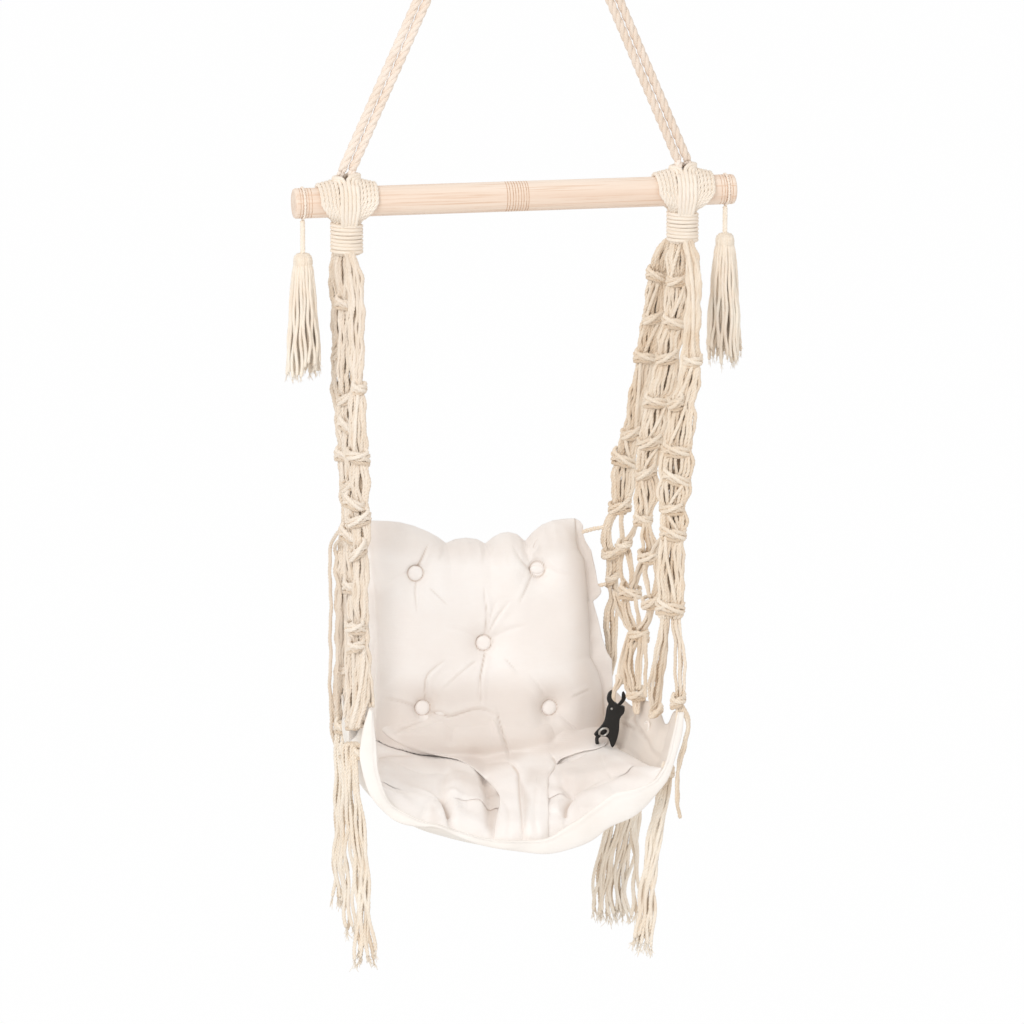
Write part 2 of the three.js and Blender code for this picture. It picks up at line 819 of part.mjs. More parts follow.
function seatHeight(a, b) {
  const crown = (Math.sin(Math.PI * a) * Math.sin(Math.PI * b)) ** crownPower;
  const dip = (x, y, wide) => Math.exp(-(((a - x) ** 2 + (b - y) ** 2) / wide ** 2));
  const tufts = seatTuftShares.reduce((sum, [x, y]) => sum + dip(x, y, tuftWideShare), 0);
  const channel = Math.exp(-(((a - channelShare) / channelWideShare) ** 2)) * crown;
  const lift = seatRim + (seatCrown - seatRim) * crown - seatTuft * Math.min(tufts, 1) * crown;
  return Math.max(lift - (seatTuft * channel) / 2, seatRim);
}

function seatPlace(a, b, height) {
  const across = mix(seatAcrossShares[0], seatAcrossShares[1], a);
  const along = mix(seatAlongShares[0], seatAlongShares[1], b);
  return above(across, along, slingThickness / 2 + seatClear + height);
}

// The cushion's own shape, or one that stands proud of it all over by a clearance.
function seatCushionShape(clearance) {
  const low = (a, b) => seatPlace(a, b, 0);
  const high = (a, b) => seatPlace(a, b, seatHeight(a, b) + clearance);
  return slab(low, high, ...seatSteps);
}

function makeSeatCushion() {
  add('seat_cushion', seatCushionShape(0), 'ivory');
}

// Centre flap: from under the back cushion forward between the legs into the front hem
const flapFrontShare = 0.012;
const flapRearShare = 0.8;
const flapWideShare = 0.42;
const flapNarrowShare = 0.085;
const flapSpreadShares = [0.28, 0.95];
const pleatShare = 0.35;
const pleatEndShares = [0.12, 0.88];

function flapPlace(a, b, height) {
  const along = mix(flapFrontShare, flapRearShare, b);
  const spread = smooth((b - flapSpreadShares[0]) / (flapSpreadShares[1] - flapSpreadShares[0]));
  const widthShare = mix(flapNarrowShare, flapWideShare, spread);
  const across = channelShare + (a - 1 / 2) * widthShare;
  return seatPlace(across, along, seatHeight(across, along) + softGap + height);
}

function makeFlap() {
  const domeAt = (a) => Math.sin(Math.PI * mix(...pleatEndShares, a));
  const pleatAt = (a) => (1 + pleatShare * Math.cos(2 * turn * a)) * domeAt(a);
  const low = (a, b) => flapPlace(a, b, -flapThickness / 2);
  const high = (a, b) => flapPlace(a, b, flapThickness * pleatAt(a));
  const flap = toSolid(slab(low, high, ...flapSteps));
  add('centre_flap', fromSolid(flap.subtract(toSolid(seatCushionShape(softGap)))), 'canvas');
}

// Back cushion: a pillow with five tufts, drawn in between its corners
const drawnInShare = 0.06;
const lobeShare = 0.02;
const lobeCount = 3;
const tuftWide = 22;
const backRearShare = 0.5;
const backTufts = [[0, 0], [-1, 1], [1, 1], [-1, -1], [1, -1]];

function backFrame() {
  const centre = at(seatShift, backCentreReach, -backCentreDrop);
  const rise = at(0, Math.sin(backLean), Math.cos(backLean));
  const forward = at(0, -Math.cos(backLean), Math.sin(backLean));
  return { centre, rise, forward };
}

function backOutline(s, t) {
  const x = (s * backWidth) / 2 * (1 - drawnInShare * Math.cos(t * quarter));
  const lobes = lobeShare * Math.cos(s * Math.PI * lobeCount) * Math.abs(t);
  const z = (t * backHeight) / 2 * (1 - drawnInShare * Math.cos(s * quarter) + lobes);
  return [x, z];
}

function backSwell(s, t) {
  const [x, z] = backOutline(s, t);
  const crown = Math.sqrt((1 - s ** 4) * (1 - t ** 4));
  const dips = backTufts.reduce((sum, [i, j]) => {
    const far = ((x - i * buttonSpread) ** 2 + (z - j * buttonRise) ** 2) / tuftWide ** 2;
    return sum + Math.exp(-far);
  }, 0);
  return backRim / 2 + (backCrown - backRim / 2) * crown - backTuft * Math.min(dips, 1) * crown;
}

function backPlace(s, t, height) {
  const { centre, rise, forward } = backFrame();
  const [x, z] = backOutline(s, t);
  return centre.add(at(x, 0, 0)).addScaledVector(rise, z).addScaledVector(forward, height);
}

function makeBackCushion() {
  const st = (a) => Math.sin((a - 1 / 2) * Math.PI);
  const low = (a, b) => backPlace(st(a), st(b), -backRearShare * backSwell(st(a), st(b)));
  const high = (a, b) => backPlace(st(a), st(b), backSwell(st(a), st(b)));
  const pillow = toSolid(slab(low, high, ...backSteps));
  const pocketed = backButtons().reduce((rest, { pocket }) => rest.subtract(toSolid(pocket)), pillow);
  const pressed = pocketed.subtract(toSolid(seatCushionShape(softGap)))
    .subtract(toSolid(slingShape(-backCrown, slingThickness / 2 + softGap)));
  add('back_cushion', fromSolid(largest(pressed)), 'ivory');
}

// Covered buttons, each a low dome drawn into a pocket of the pillow
function button(centre, facing) {
  const profile = [new THREE.Vector2(0, 0), new THREE.Vector2(buttonRadius, 0)];
  for (let i = 1; i < buttonSteps; i += 1) {
    const angle = (i / buttonSteps) * quarter;
    profile.push(new THREE.Vector2(buttonRadius * Math.cos(angle), buttonThickness * Math.sin(angle)));
  }
  profile.push(new THREE.Vector2(0, buttonThickness));
  return stoodOn(new THREE.LatheGeometry(profile, buttonSides), centre, facing);
}

function buttonPocket(centre, facing) {
  const depth = backCrown;
  const round = buttonRadius + softGap;
  const pocket = new THREE.CylinderGeometry(round, round, depth, buttonSides);
  pocket.translate(0, depth / 2 - seatGap, 0);
  return stoodOn(pocket, centre, facing);
}

function stoodOn(shape, centre, facing) {
  shape.applyQuaternion(new THREE.Quaternion().setFromUnitVectors(at(0, 1, 0), facing));
  shape.translate(...centre.toArray());
  return bare(shape);
}

function backButtons() {
  const { forward } = backFrame();
  return backTufts.map(([i, j]) => {
    const s = (i * buttonSpread * 2) / backWidth;
    const t = (j * buttonRise * 2) / backHeight;
    const place = backPlace(s, t, backSwell(s, t));
    return { dome: button(place, forward), pocket: buttonPocket(place, forward) };
  });
}

function makeBackButtons() {
  backButtons().forEach(({ dome }, n) => add(`back_button_${n + 1}`, dome, 'ivory'));
}

// Cords that tie the back cushion to the rear sinnets
const tieRiseShares = { upper: 0.9, lower: 0.4 };

function makeTies(name, side) {
  Object.entries(tieRiseShares).forEach(([level, t]) => {
    const start = backPlace(side, t, 0);
    const sinnet = panelPoint(side, columnShares.rear, start.z);
    const downShare = (panelTopZ - start.z) / (panelTopZ + sinnetEndDrop);
    const from = start.clone().add(at(side * softGap, 0, 0));
    const reach = sinnet.sub(from);
    const length = reach.length() - sinnetRadiusAt('rear', downShare) - 2 * softGap;
    const end = from.clone().add(reach.setLength(length));
    const route = [from, from.clone().lerp(end, 1 / 2), end];
    add(`${name}_${level}_tie`, cord(route, tieRadius, tieSteps, cordSides), 'cotton');
  });
}

// Corner cords: legs from the sinnets' lowest knots down to the sling's side edge
function edgeTop(side, along) {
  const across = side > 0 ? 1 - slingEndShare : slingEndShare;
  return slingPoint(across, along);
}

const cornerLegs = [
  { column: 'front', alongShare: 0.03 },
  { column: 'front', alongShare: 0.26 },
  { column: 'middle', alongShare: 0.36 },
  { column: 'middle', alongShare: 0.45 },
  { column: 'rear', alongShare: 0.56 },
];
function cornerLeg(side, leg) {
  const top = panelPoint(side, columnShares[leg.column], -sinnetEndDrop + 2 * legRadius);
  const foot = edgeTop(side, leg.alongShare).add(at(0, 0, legRadius + seatGap));
  const half = top.clone().lerp(foot, 1 / 2);
  return swell([top, half, foot], (s) => legRadius * mix(1, legFootShare, s), legSteps, cordSides);
}

// Eyelets: rings that lie on the sling under its side edges
function makeEyelet(name, side) {
  const across = side > 0 ? 1 - eyeletInsetShare : eyeletInsetShare;
  const normal = slingNormal(across, eyeletAlongShare);
  const ring = new THREE.TorusGeometry(eyeletRadius, eyeletWire, fineSides, eyeletSteps);
  ring.applyQuaternion(new THREE.Quaternion().setFromUnitVectors(up, normal));
  const place = above(across, eyeletAlongShare, slingThickness / 2 + eyeletLift);
  ring.translate(...place.toArray());
  add(`${name}_eyelet`, bare(ring), 'steel');
}

// Fringes: strands that hang outside the sling from its side edges
const fringeGroups = {
  front: { alongShares: [0.02, 0.12], out: 6.3, footY: -176, inward: { left: 30, right: 52 } },
  middle: { alongShares: [0.24, 0.34], out: 5.4, footY: -38, inward: { left: 26, right: 26 } },
  rear: { alongShares: [0.45, 0.57], out: 6.3, footY: 70, inward: { left: 22, right: 22 } },
};
function makeFringe(name, side, group) {
  const { alongShares, out, footY, inward } = fringeGroups[group];
  const edge = edgeTop(side, mix(alongShares[0], alongShares[1], 1 / 2));
  const knotPlace = edge.add(at(side * out, 0, -fringeTopClear));
  const knotEnd = knotPlace.clone().add(at(0, 0, -fringeKnotLength));
  const knotAt = (s) => fringeKnotRadius * (1 / 2 + Math.sin(Math.PI * s) / 2);
  const strands = [swell([knotPlace, knotEnd], knotAt, strandSteps, cordSides)];
  for (let k = 0; k < fringeStrands; k += 1) {
    const share = k / (fringeStrands - 1);
    const top = knotPlace.clone().add(at(0, (share - 1 / 2) * fringeKnotRadius, -fringeKnotRadius));
    const footShiftY = (share - 1 / 2) * fringeSpread;
    const foot = at(top.x - side * inward[name], footY + footShiftY, -fringeDrop);
    const half = top.clone().lerp(foot, 1 / 2);
    half.x += (side * inward[name]) / 4;
    const radiusAt = (s) => fringeRadius * mix(fringeTopShare, 1, s);
    strands.push(swell([top, half, foot], radiusAt, strandSteps, thinSides));
  }
  add(`${name}_${group}_fringe`, joined(strands), 'cotton');
}

// Tassels: a cord tied round the bar in its end groove, a bound head and a skirt of yarn
const tasselGrooveRadius = barRadius - tasselGrooveDepth;
const tasselLoopRadius = tasselGrooveRadius + seatGap + tasselCordRadius;

function tasselX(side) {
  return barShift + side * (barLength / 2 - tasselGrooveInset);
}

function makeTasselLoop(name, side) {
  const loop = new THREE.TorusGeometry(tasselLoopRadius, tasselCordRadius, thinSides, loopSteps);
  loop.rotateY(Math.PI / 2);
  loop.translate(tasselX(side), 0, barZ);
  add(`${name}_tassel_loop`, bare(loop), 'cotton');
}

const tasselPivotZ = barZ - tasselLoopRadius - 2 * tasselCordRadius - seatGap;
const tasselHeadTopZ = barZ - tasselHeadDrop;

function makeTassel(name, side) {
  const x = tasselX(side);
  const points = [at(x, 0, tasselPivotZ), at(x, 0, tasselHeadTopZ + tasselCordRadius + seatGap)];
  add(`${name}_tassel_cord`, domedTube(points, tasselCordRadius, roundSides), 'cotton');
  const skirtTop = tasselHeadTopZ;
  const foot = skirtTop - tasselHeadLength - tasselSkirtLength;
  const neck = tasselHeadRadius - 2 * tasselWindRadius - seatGap;
  const headShare = tasselHeadLength / (skirtTop - foot);
  const skirtAt = (s) => {
    if (s <= headShare) return neck;
    const down = (s - headShare) / (1 - headShare);
    return mix(neck + tasselWindRadius, tasselSkirtRadius, lookUp(skirtDropShares, skirtWideShares, down));
  };
  add(`${name}_tassel_skirt`, flutedSkirt(x, skirtTop, foot, headShare, skirtAt), 'cotton');
  const windCentre = at(x, 0, skirtTop - tasselWindRadius - seatGap);
  const pitch = 2 * tasselWindRadius + strandGap;
  const around = tasselHeadRadius - tasselWindRadius;
  const coil = winding(`${name}_tassel_binding`, {
    centre: windCentre,
    radiusX: around,
    radiusY: around,
    turns: tasselWindTurns,
    pitch,
    tubeRadius: tasselWindRadius,
    stepsPerTurn: bindingSteps,
  });
  add(`${name}_tassel_binding`, coil, 'cotton');
}

// The skirt's yarn is gathered in soft ribs that deepen towards its cut end.
function flutedSkirt(x, topZ, footZ, headShare, radiusAt) {
  const sideCount = skirtRibs * 2;
  const vertices = [];
  const levelShares = [0, ...skirtLevelShares.map((share) => mix(headShare, 1, share))];
  levelShares.forEach((share) => {
    for (let j = 0; j < sideCount; j += 1) {
      const angle = (-turn * j) / sideCount;
      const flute = 1 - (j % 2) * fluteShare * share;
      const radius = radiusAt(share) * flute;
      vertices.push(at(x + radius * Math.cos(angle), radius * Math.sin(angle), mix(topZ, footZ, share)));
    }
  });
  return fromTriangles(vertices, tubeFaces(levelShares.length - 1, sideCount));
}

// Snap hook: a flat body with a claw, a gate on a rivet, a ring at its foot and a tab sewn to the cushion.
// Its own places are given from the middle of the claw: across, towards the rear and up.
function hookPoint(side, x, y, z) {
  const place = at(side * x, y, z).applyAxisAngle(at(0, 1, 0), side * hookTilt);
  return place.add(at(seatShift + side * (hookX - seatShift), hookY, -hookDrop));
}

function hookTube(side, points, radius, steps, sideCount) {
  return cord(points.map(([x, y, z]) => hookPoint(side, x, y, z)), radius, steps, sideCount);
}

function hookBlock(side, x, y, z, width, depth, height) {
  const block = new THREE.BoxGeometry(width, depth, height);
  block.translate(side * x, y, z);
  block.rotateY(side * hookTilt);
  block.translate(...hookPoint(side, 0, 0, 0).toArray());
  return block;
}

function hookPin(side, x, z, radius, length) {
  const pin = new THREE.CylinderGeometry(radius, radius, length, pinSides);
  pin.translate(side * x, 0, z);
  pin.rotateY(side * hookTilt);
  pin.translate(...hookPoint(side, 0, 0, 0).toArray());
  return pin;
}

const clawShares = [0.19, 0.3, 0.4, 0.5, 0.62, 0.76];
const bodyTop = -hookClawRadius + hookClawWire;
const gatePivotX = hookClawRadius - hookClawWire;
const gatePivotZ = bodyTop - hookRivetRadius - hookClawWire;
const ringHoleX = -hookWidth / 8;
const ringHoleZ = bodyTop - hookBodyLength + 2 * hookEyeHole;
const gateFork = 2 * hookGateRadius + 2 * seatGap;

function makeHookBody(name, side) {
  const claw = clawShares.map((share) => {
    const angle = share * turn;
    return [hookClawRadius * Math.cos(angle), 0, hookClawRadius * Math.sin(angle)];
  });
  const plateZ = bodyTop - hookBodyLength / 2;
  const solid = toSolid(hookTube(side, claw, hookClawWire, clawSteps, wireSides))
    .add(toSolid(hookBlock(side, 0, 0, plateZ, hookWidth, hookThickness, hookBodyLength)))
    .subtract(toSolid(hookPin(side, gatePivotX, gatePivotZ, hookRivetRadius + seatGap, 2 * hookThickness)))
    .subtract(toSolid(hookPin(side, ringHoleX, ringHoleZ, hookEyeHole, 2 * hookThickness)))
    .subtract(toSolid(gateSlot(side)));
  add(`${name}_snap_hook`, fromSolid(solid), 'black');
}

// The slot in the body's top corner that the gate swings in, open at the top and at its edge.
function gateSlot(side) {
  const low = gatePivotZ - hookGateRadius - 2 * seatGap;
  const height = bodyTop - low + hookClawWire;
  const width = hookWidth / 2 + hookGateRadius + 2 * seatGap;
  const x = gatePivotX - hookGateRadius - 2 * seatGap + width / 2;
  return hookBlock(side, x - gateSwing / 2, 0, low + height / 2, width + gateSwing, gateFork, height);
}

const clawTipAngle = clawShares[0] * turn;

function makeGate(name, side) {
  const reach = hookClawRadius * Math.sin(clawTipAngle) - hookClawWire - 2 * seatGap;
  const heights = [gatePivotZ - hookGateRadius / 2, gatePivotZ, reach];
  const points = heights.map((height) => [gatePivotX, 0, height]);
  const bar = toSolid(hookTube(side, points, hookGateRadius, tieSteps, roundSides));
  const bore = toSolid(hookPin(side, gatePivotX, gatePivotZ, hookRivetRadius + seatGap, 2 * hookThickness));
  add(`${name}_hook_gate`, fromSolid(bar.subtract(bore)), 'black');
}

function makeHookRivet(name, side) {
  const rivet = hookPin(side, gatePivotX, gatePivotZ, hookRivetRadius, hookThickness);
  add(`${name}_hook_rivet`, bare(rivet), 'steel');
}

function makeHookRing(name, side) {
  const points = [];
  for (let i = 0; i < eyeSteps; i += 1) {
    const angle = (turn * i) / eyeSteps;
    const away = hookEyeRadius * (1 + Math.cos(angle));
    points.push(hookPoint(
      side,
      ringHoleX - away * Math.sin(hookEyeLean),
      hookEyeRadius * Math.sin(angle),
      ringHoleZ - away * Math.cos(hookEyeLean),
    ));
  }
  add(`${name}_hook_ring`, closedTube(points, hookEyeWire, fineSides), 'steel');
}

// A ring of tube through points that close on themselves, all in one plane.
function closedTube(points, radius, sideCount) {
  const count = points.length;
  const centre = points.reduce((sum, p) => sum.add(p), at(0, 0, 0)).divideScalar(count);
  const axis = points[0].clone().sub(centre).cross(points[1].clone().sub(centre)).normalize();
  const vertices = points.flatMap((point) => {
    const outward = point.clone().sub(centre).normalize();
    return Array.from({ length: sideCount }, (_, j) => {
      const angle = (-turn * j) / sideCount;
      return point.clone().addScaledVector(outward, radius * Math.cos(angle))
        .addScaledVector(axis, radius * Math.sin(angle));
    });
  });
  const faces = [];
  for (let i = 0; i < count; i += 1) {
    for (let j = 0; j < sideCount; j += 1) {
      const a = i * sideCount + j;
      const b = i * sideCount + ((j + 1) % sideCount);
      const c = ((i + 1) % count) * sideCount + j;
      const d = ((i + 1) % count) * sideCount + ((j + 1) % sideCount);
      faces.push([a, b, c], [b, d, c]);
    }
  }
  return fromTriangles(vertices, faces);
}

// The cord loop that the claw is clipped through: whipped above, and tied off at the middle sinnet.
function makeHookLoop(name, side) {
  const round = hookClawWire + loopCordRadius + 2 * softGap;
  const top = Math.sqrt(hookClawRadius ** 2 - loopShift ** 2);
  const bend = Array.from({ length: loopBends + 1 }, (_, i) => {
    const angle = Math.PI * (1 + i / loopBends);
    return [loopShift, round * Math.cos(angle), top + round * Math.sin(angle)];
  });
  const neckZ = top + loopNeckRise;
  const neck = loopWhippingRadius - loopCordRadius;
  const loop = [[loopShift, -neck, neckZ], ...bend, [loopShift, neck, neckZ]];
  const whipping = [[loopShift, 0, neckZ - loopCordRadius], [loopShift, 0, neckZ + loopWhippingLength]];
  const sinnet = panelPoint(side, columnShares.middle, -sinnetEndDrop);
  const tailTop = sinnet.add(at(-side * tailClear, 0, 0));
  const tailFoot = hookPoint(side, loopShift, 0, neckZ + loopWhippingLength / 2);
  const tailRoute = [tailFoot, tailFoot.clone().lerp(tailTop, 1 / 2), tailTop];
  const tail = cord(tailRoute, loopCordRadius, tieSteps, fineSides);
  const pieces = [
    hookTube(side, loop, loopCordRadius, hookLoopSteps, fineSides),
    hookTube(side, whipping, loopWhippingRadius, tieSteps, cordSides),
    tail,
  ];
  add(`${name}_hook_loop`, joined(pieces), 'cotton');
}

// The tab that holds the ring to the seat cushion's rear corner: a loop round the ring's wire and a strap.
function makeHookTab(name, side) {
  const beyond = (distance) => hookPoint(
    side,
    ringHoleX - distance * Math.sin(hookEyeLean),
    0,
    ringHoleZ - distance * Math.cos(hookEyeLean),
  );
  const loop = new THREE.TorusGeometry(strapLoopRadius, strapLoopWire, wireSides, eyeletSteps);
  loop.rotateX(quarter);
  loop.translate(...beyond(2 * hookEyeRadius).toArray());
  const a = side > 0 ? tabAcrossShare : 1 - tabAcrossShare;
  const height = seatHeight(a, tabAlongShare) + softGap;
  const route = [
    beyond(2 * hookEyeRadius + strapLoopRadius),
    seatPlace(a, tabAlongShare, height + 2 * strapRadius),
    seatPlace(a, tabAlongShare, height - 3 * strapRadius),
  ];
  const tab = toSolid(joined([loop, cord(route, strapRadius, strandSteps, cordSides)]));
  add(`${name}_hook_tab`, fromSolid(largest(tab.subtract(toSolid(seatCushionShape(tabClear))))), 'black');
}

// The photograph shows one snap hook, on the right.
function makeHook(name, side) {
  makeHookBody(name, side);
  makeGate(name, side);
  makeHookRivet(name, side);
  makeHookRing(name, side);
  makeHookLoop(name, side);
  makeHookTab(name, side);
}

makeRing();
Object.entries(sides).forEach(([name, side]) => {
  makeRope(name, side);
  makeHitch(name, side);
  makeFan(name, side);
  makeWrap(name, side);
  Object.keys(columnShares).forEach((column) => makeSinnet(name, side, column));
  Object.keys(fringeGroups).forEach((group) => makeFringe(name, side, group));
  makeTies(name, side);
  makeEyelet(name, side);
  makeTasselLoop(name, side);
  makeTassel(name, side);
});
makeHook('right', sides.right);
makeTopWhipping();
makeBar();
makeSling();
makeHem();
makeSeatCushion();
makeFlap();
makeBackCushion();
makeBackButtons();

export default chair;
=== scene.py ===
import math
import random

import bmesh
import bpy
import numpy as np
from mathutils import Euler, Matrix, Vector


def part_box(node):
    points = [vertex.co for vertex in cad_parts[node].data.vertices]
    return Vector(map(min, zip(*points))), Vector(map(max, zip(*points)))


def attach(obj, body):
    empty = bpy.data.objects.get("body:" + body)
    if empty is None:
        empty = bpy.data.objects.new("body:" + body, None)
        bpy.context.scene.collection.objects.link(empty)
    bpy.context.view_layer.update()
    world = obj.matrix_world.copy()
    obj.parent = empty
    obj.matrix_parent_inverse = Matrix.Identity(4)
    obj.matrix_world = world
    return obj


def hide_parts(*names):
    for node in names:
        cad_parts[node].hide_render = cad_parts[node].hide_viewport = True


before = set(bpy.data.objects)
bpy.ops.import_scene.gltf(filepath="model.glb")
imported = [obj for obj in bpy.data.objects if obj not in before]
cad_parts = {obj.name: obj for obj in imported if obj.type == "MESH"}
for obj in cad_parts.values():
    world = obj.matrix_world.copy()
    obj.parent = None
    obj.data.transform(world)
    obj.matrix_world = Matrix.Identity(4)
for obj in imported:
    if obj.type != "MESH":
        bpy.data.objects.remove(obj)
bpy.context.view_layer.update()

# Lengths in this script are millimetres until a mesh is made.
MM = 0.001
TURN = 2 * math.pi
QUARTER = math.pi / 2
SIDES = {"left": -1, "right": 1}

# ---------------------------------------------------------------- camera

PICTURE, CENTRE, SENSOR = 1024, 512, 36
FOCAL = 5272.8
VIEW_TURN = Euler((math.radians(78.57), 0, math.radians(-13.41)))
VIEW_PLACE = Vector((-1618.2, -6740.3, 356.3))

camera_data = bpy.data.cameras.new("view")
camera_data.sensor_width = SENSOR
camera_data.lens = FOCAL * SENSOR / PICTURE
camera = bpy.data.objects.new("view", camera_data)
camera.location = VIEW_PLACE * MM
camera.rotation_euler = VIEW_TURN
bpy.context.scene.collection.objects.link(camera)
bpy.context.scene.camera = camera
bpy.context.scene.view_settings.view_transform = "Standard"


def seen_at(px, py, y):
    """The place at depth y that the picture shows at px, py."""
    ray = VIEW_TURN.to_matrix() @ Vector(((px - CENTRE) / FOCAL, (CENTRE - py) / FOCAL, -1))
    return np.array(VIEW_PLACE + ray * ((y - VIEW_PLACE.y) / ray.y))


# The picture's way across and the way from the chair to the camera, level.
ACROSS = np.array([0.972, -0.235, 0.0])
FORWARD = np.array([-0.235, -0.972, 0.0])
UP = np.array([0, 0, 1.0])
PIXEL = 1.325  # millimetres
EYE, EYE_TURN = np.array(VIEW_PLACE), np.array(VIEW_TURN.to_matrix())

# ---------------------------------------------------------------- measures of the chair

BAR_Z, BAR_SHIFT, BAR_LENGTH, BAR_RADIUS, BAR_CHAMFER = -618, -6, 600, 20, 2.5
TASSEL_INSET, TASSEL_GROOVE = 12, 1.6
ROPE_RADIUS, STRAND_OFFSET, STRAND_SPREAD = 6, 6.25, 1.09
RING_CENTRE_Z, RING_RADIUS, BITE_RADIUS = -20, 24, 11.4
BITE_Z = RING_CENTRE_Z - math.sqrt(RING_RADIUS**2 - STRAND_OFFSET**2)
WHIPPING_TOP, WHIPPING_CORD, WHIPPING_TURNS = 66, 1.9, 3
WHIPPING_PITCH = 2 * WHIPPING_CORD + 0.5
WHIPPING_END_Z = -WHIPPING_TOP - WHIPPING_TURNS * WHIPPING_PITCH - 2 * WHIPPING_CORD
PIVOT_RISE = 40
PIVOT_Z = BAR_Z + PIVOT_RISE
WRAP_SPAN, WRAP_DROP, WRAP_TURNS, WRAP_PITCH, WRAP_CORD = 458, 24.8, 8, 4.95, 2.3
WRAP_X, WRAP_Y = 19.6, 17.2
WRAP_TOP_Z = BAR_Z - WRAP_DROP
PANEL_TOP_Z = WRAP_TOP_Z - WRAP_TURNS * WRAP_PITCH - 2 * WRAP_CORD
CORNER_DROP, FRONT_REACH, REAR_REACH = 1281, 188, 92
SEAT_SHIFT = -44
SEAT_CROWN, SEAT_RIM, SEAT_CLEAR, SEAT_TUFT = 48, 7, 1.8, 17
BACK_WIDTH, BACK_HEIGHT, BACK_CROWN, BACK_RIM, BACK_TUFT = 318, 330, 38, 8, 20
BACK_CENTRE = np.array([SEAT_SHIFT, 68.0, -1234.0])
BACK_LEAN = 0.09
BUTTON_RADIUS, BUTTON_SINK = 10, 0.4
YARN = 2.7
LAID = 0.3  # how far a cord lies off what it lies on


def mix(a, b, share):
    return a + (b - a) * share


def smooth(share):
    share = np.clip(share, 0, 1)
    return share * share * (3 - 2 * share)


def wrap_x(side):
    return BAR_SHIFT + side * WRAP_SPAN / 2


PANEL_HEIGHTS = [0, 0.07, 0.2, 0.34, 0.6, 1]
PANEL_SPREADS = [0.075, 0.26, 0.5, 0.68, 0.84, 1]
COLUMNS = {"front": 0, "middle": 0.55, "rear": 1}


def panel_y(rear_share, z):
    """How far back a cord panel stands at a height: it spreads from the wrap to the corners of the seat."""
    down = (PANEL_TOP_Z - z) / (PANEL_TOP_Z + CORNER_DROP)
    return mix(-FRONT_REACH, REAR_REACH, rear_share) * np.interp(down, PANEL_HEIGHTS, PANEL_SPREADS)


def on_panel(px, py, rear_share):
    """The place on a cord panel that the picture shows at px, py."""
    place = seen_at(px, py, 0)
    for _ in range(4):
        place = seen_at(px, py, panel_y(rear_share, place[2]))
    return place


# ---------------------------------------------------------------- making pieces


def finish_piece(name, mesh, material, body, hides):
    thing = bpy.data.objects.new(name, mesh)
    bpy.context.scene.collection.objects.link(thing)
    mesh.materials.append(material)
    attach(thing, body)
    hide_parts(*hides)
    return thing


def cord_piece(name, cords, material, node, body="seat"):
    """A piece made of cords, in the place of one node of the solid model."""
    return finish_piece(name, cords.mesh(name), material, body, [node])


def plain_mesh(name, places, faces):
    mesh = bpy.data.meshes.new(name)
    mesh.from_pydata((np.asarray(places, float) * MM).tolist(), [], faces)
    mesh.polygons.foreach_set("use_smooth", [True] * len(mesh.polygons))
    mesh.update()
    return mesh


def mesh_from(shape, name):
    mesh = bpy.data.meshes.new(name)
    shape.to_mesh(mesh)
    shape.free()
    return mesh


def outward(mesh):
    """Turns every face of a closed mesh outwards."""
    shape = bmesh.new()
    shape.from_mesh(mesh)
    bmesh.ops.recalc_face_normals(shape, faces=shape.faces)
    shape.to_mesh(mesh)
    shape.free()


def moved_onto(mesh, place, x_way, y_way, z_way):
    """Stands a mesh that was made round the origin at a place, along three ways."""
    x, y, z = (np.array([v.co for v in mesh.vertices]) / MM).T
    placed = place + x[:, None] * x_way + y[:, None] * y_way + z[:, None] * z_way
    mesh.vertices.foreach_set("co", (placed * MM).ravel())
    outward(mesh)


def paint(mesh, name, values):
    """Gives each place of a mesh a number that its finish reads."""
    layer = mesh.attributes.new(name, "FLOAT", "POINT")
    layer.data.foreach_set("value", values)


def unit(way):
    return way / np.linalg.norm(way)


def run_along(path):
    """How far along a path each of its places is."""
    return np.r_[0, np.cumsum(np.linalg.norm(np.diff(path, axis=0), axis=1))]


def run_through(points, spacing=2.5):
    """A smooth run through points, with a place every so many millimetres; further columns follow."""
    p = np.array(points, float)
    p = np.vstack([2 * p[0] - p[1], p, 2 * p[-1] - p[-2]])
    t = np.linspace(0, 1, 10, endpoint=False)[:, None]
    parts = [
        0.5 * (2 * b + (c - a) * t + (2 * a - 5 * b + 4 * c - d) * t**2 + (3 * b - a - 3 * c + d) * t**3)
        for a, b, c, d in zip(p, p[1:], p[2:], p[3:])
    ]
    dense = np.vstack(parts + [p[-2:-1]])
    run = run_along(dense[:, :3])
    at = np.linspace(0, run[-1], max(int(run[-1] / spacing), 3) + 1)
    return np.column_stack([np.interp(at, run, column) for column in dense.T])


def frames_along(path):
    """At each place of a path: the way along it, and two ways across that don't spin."""
    along = np.gradient(path, axis=0)
    along /= np.linalg.norm(along, axis=1, keepdims=True)
    start = np.array([1.0, 0, 0]) if abs(along[0][0]) < 0.8 else np.array([0, 1.0, 0])
    across = np.empty_like(path)
    for i, way in enumerate(along):
        start = unit(start - way * (start @ way))
        across[i] = start
    return along, across, np.cross(along, across)


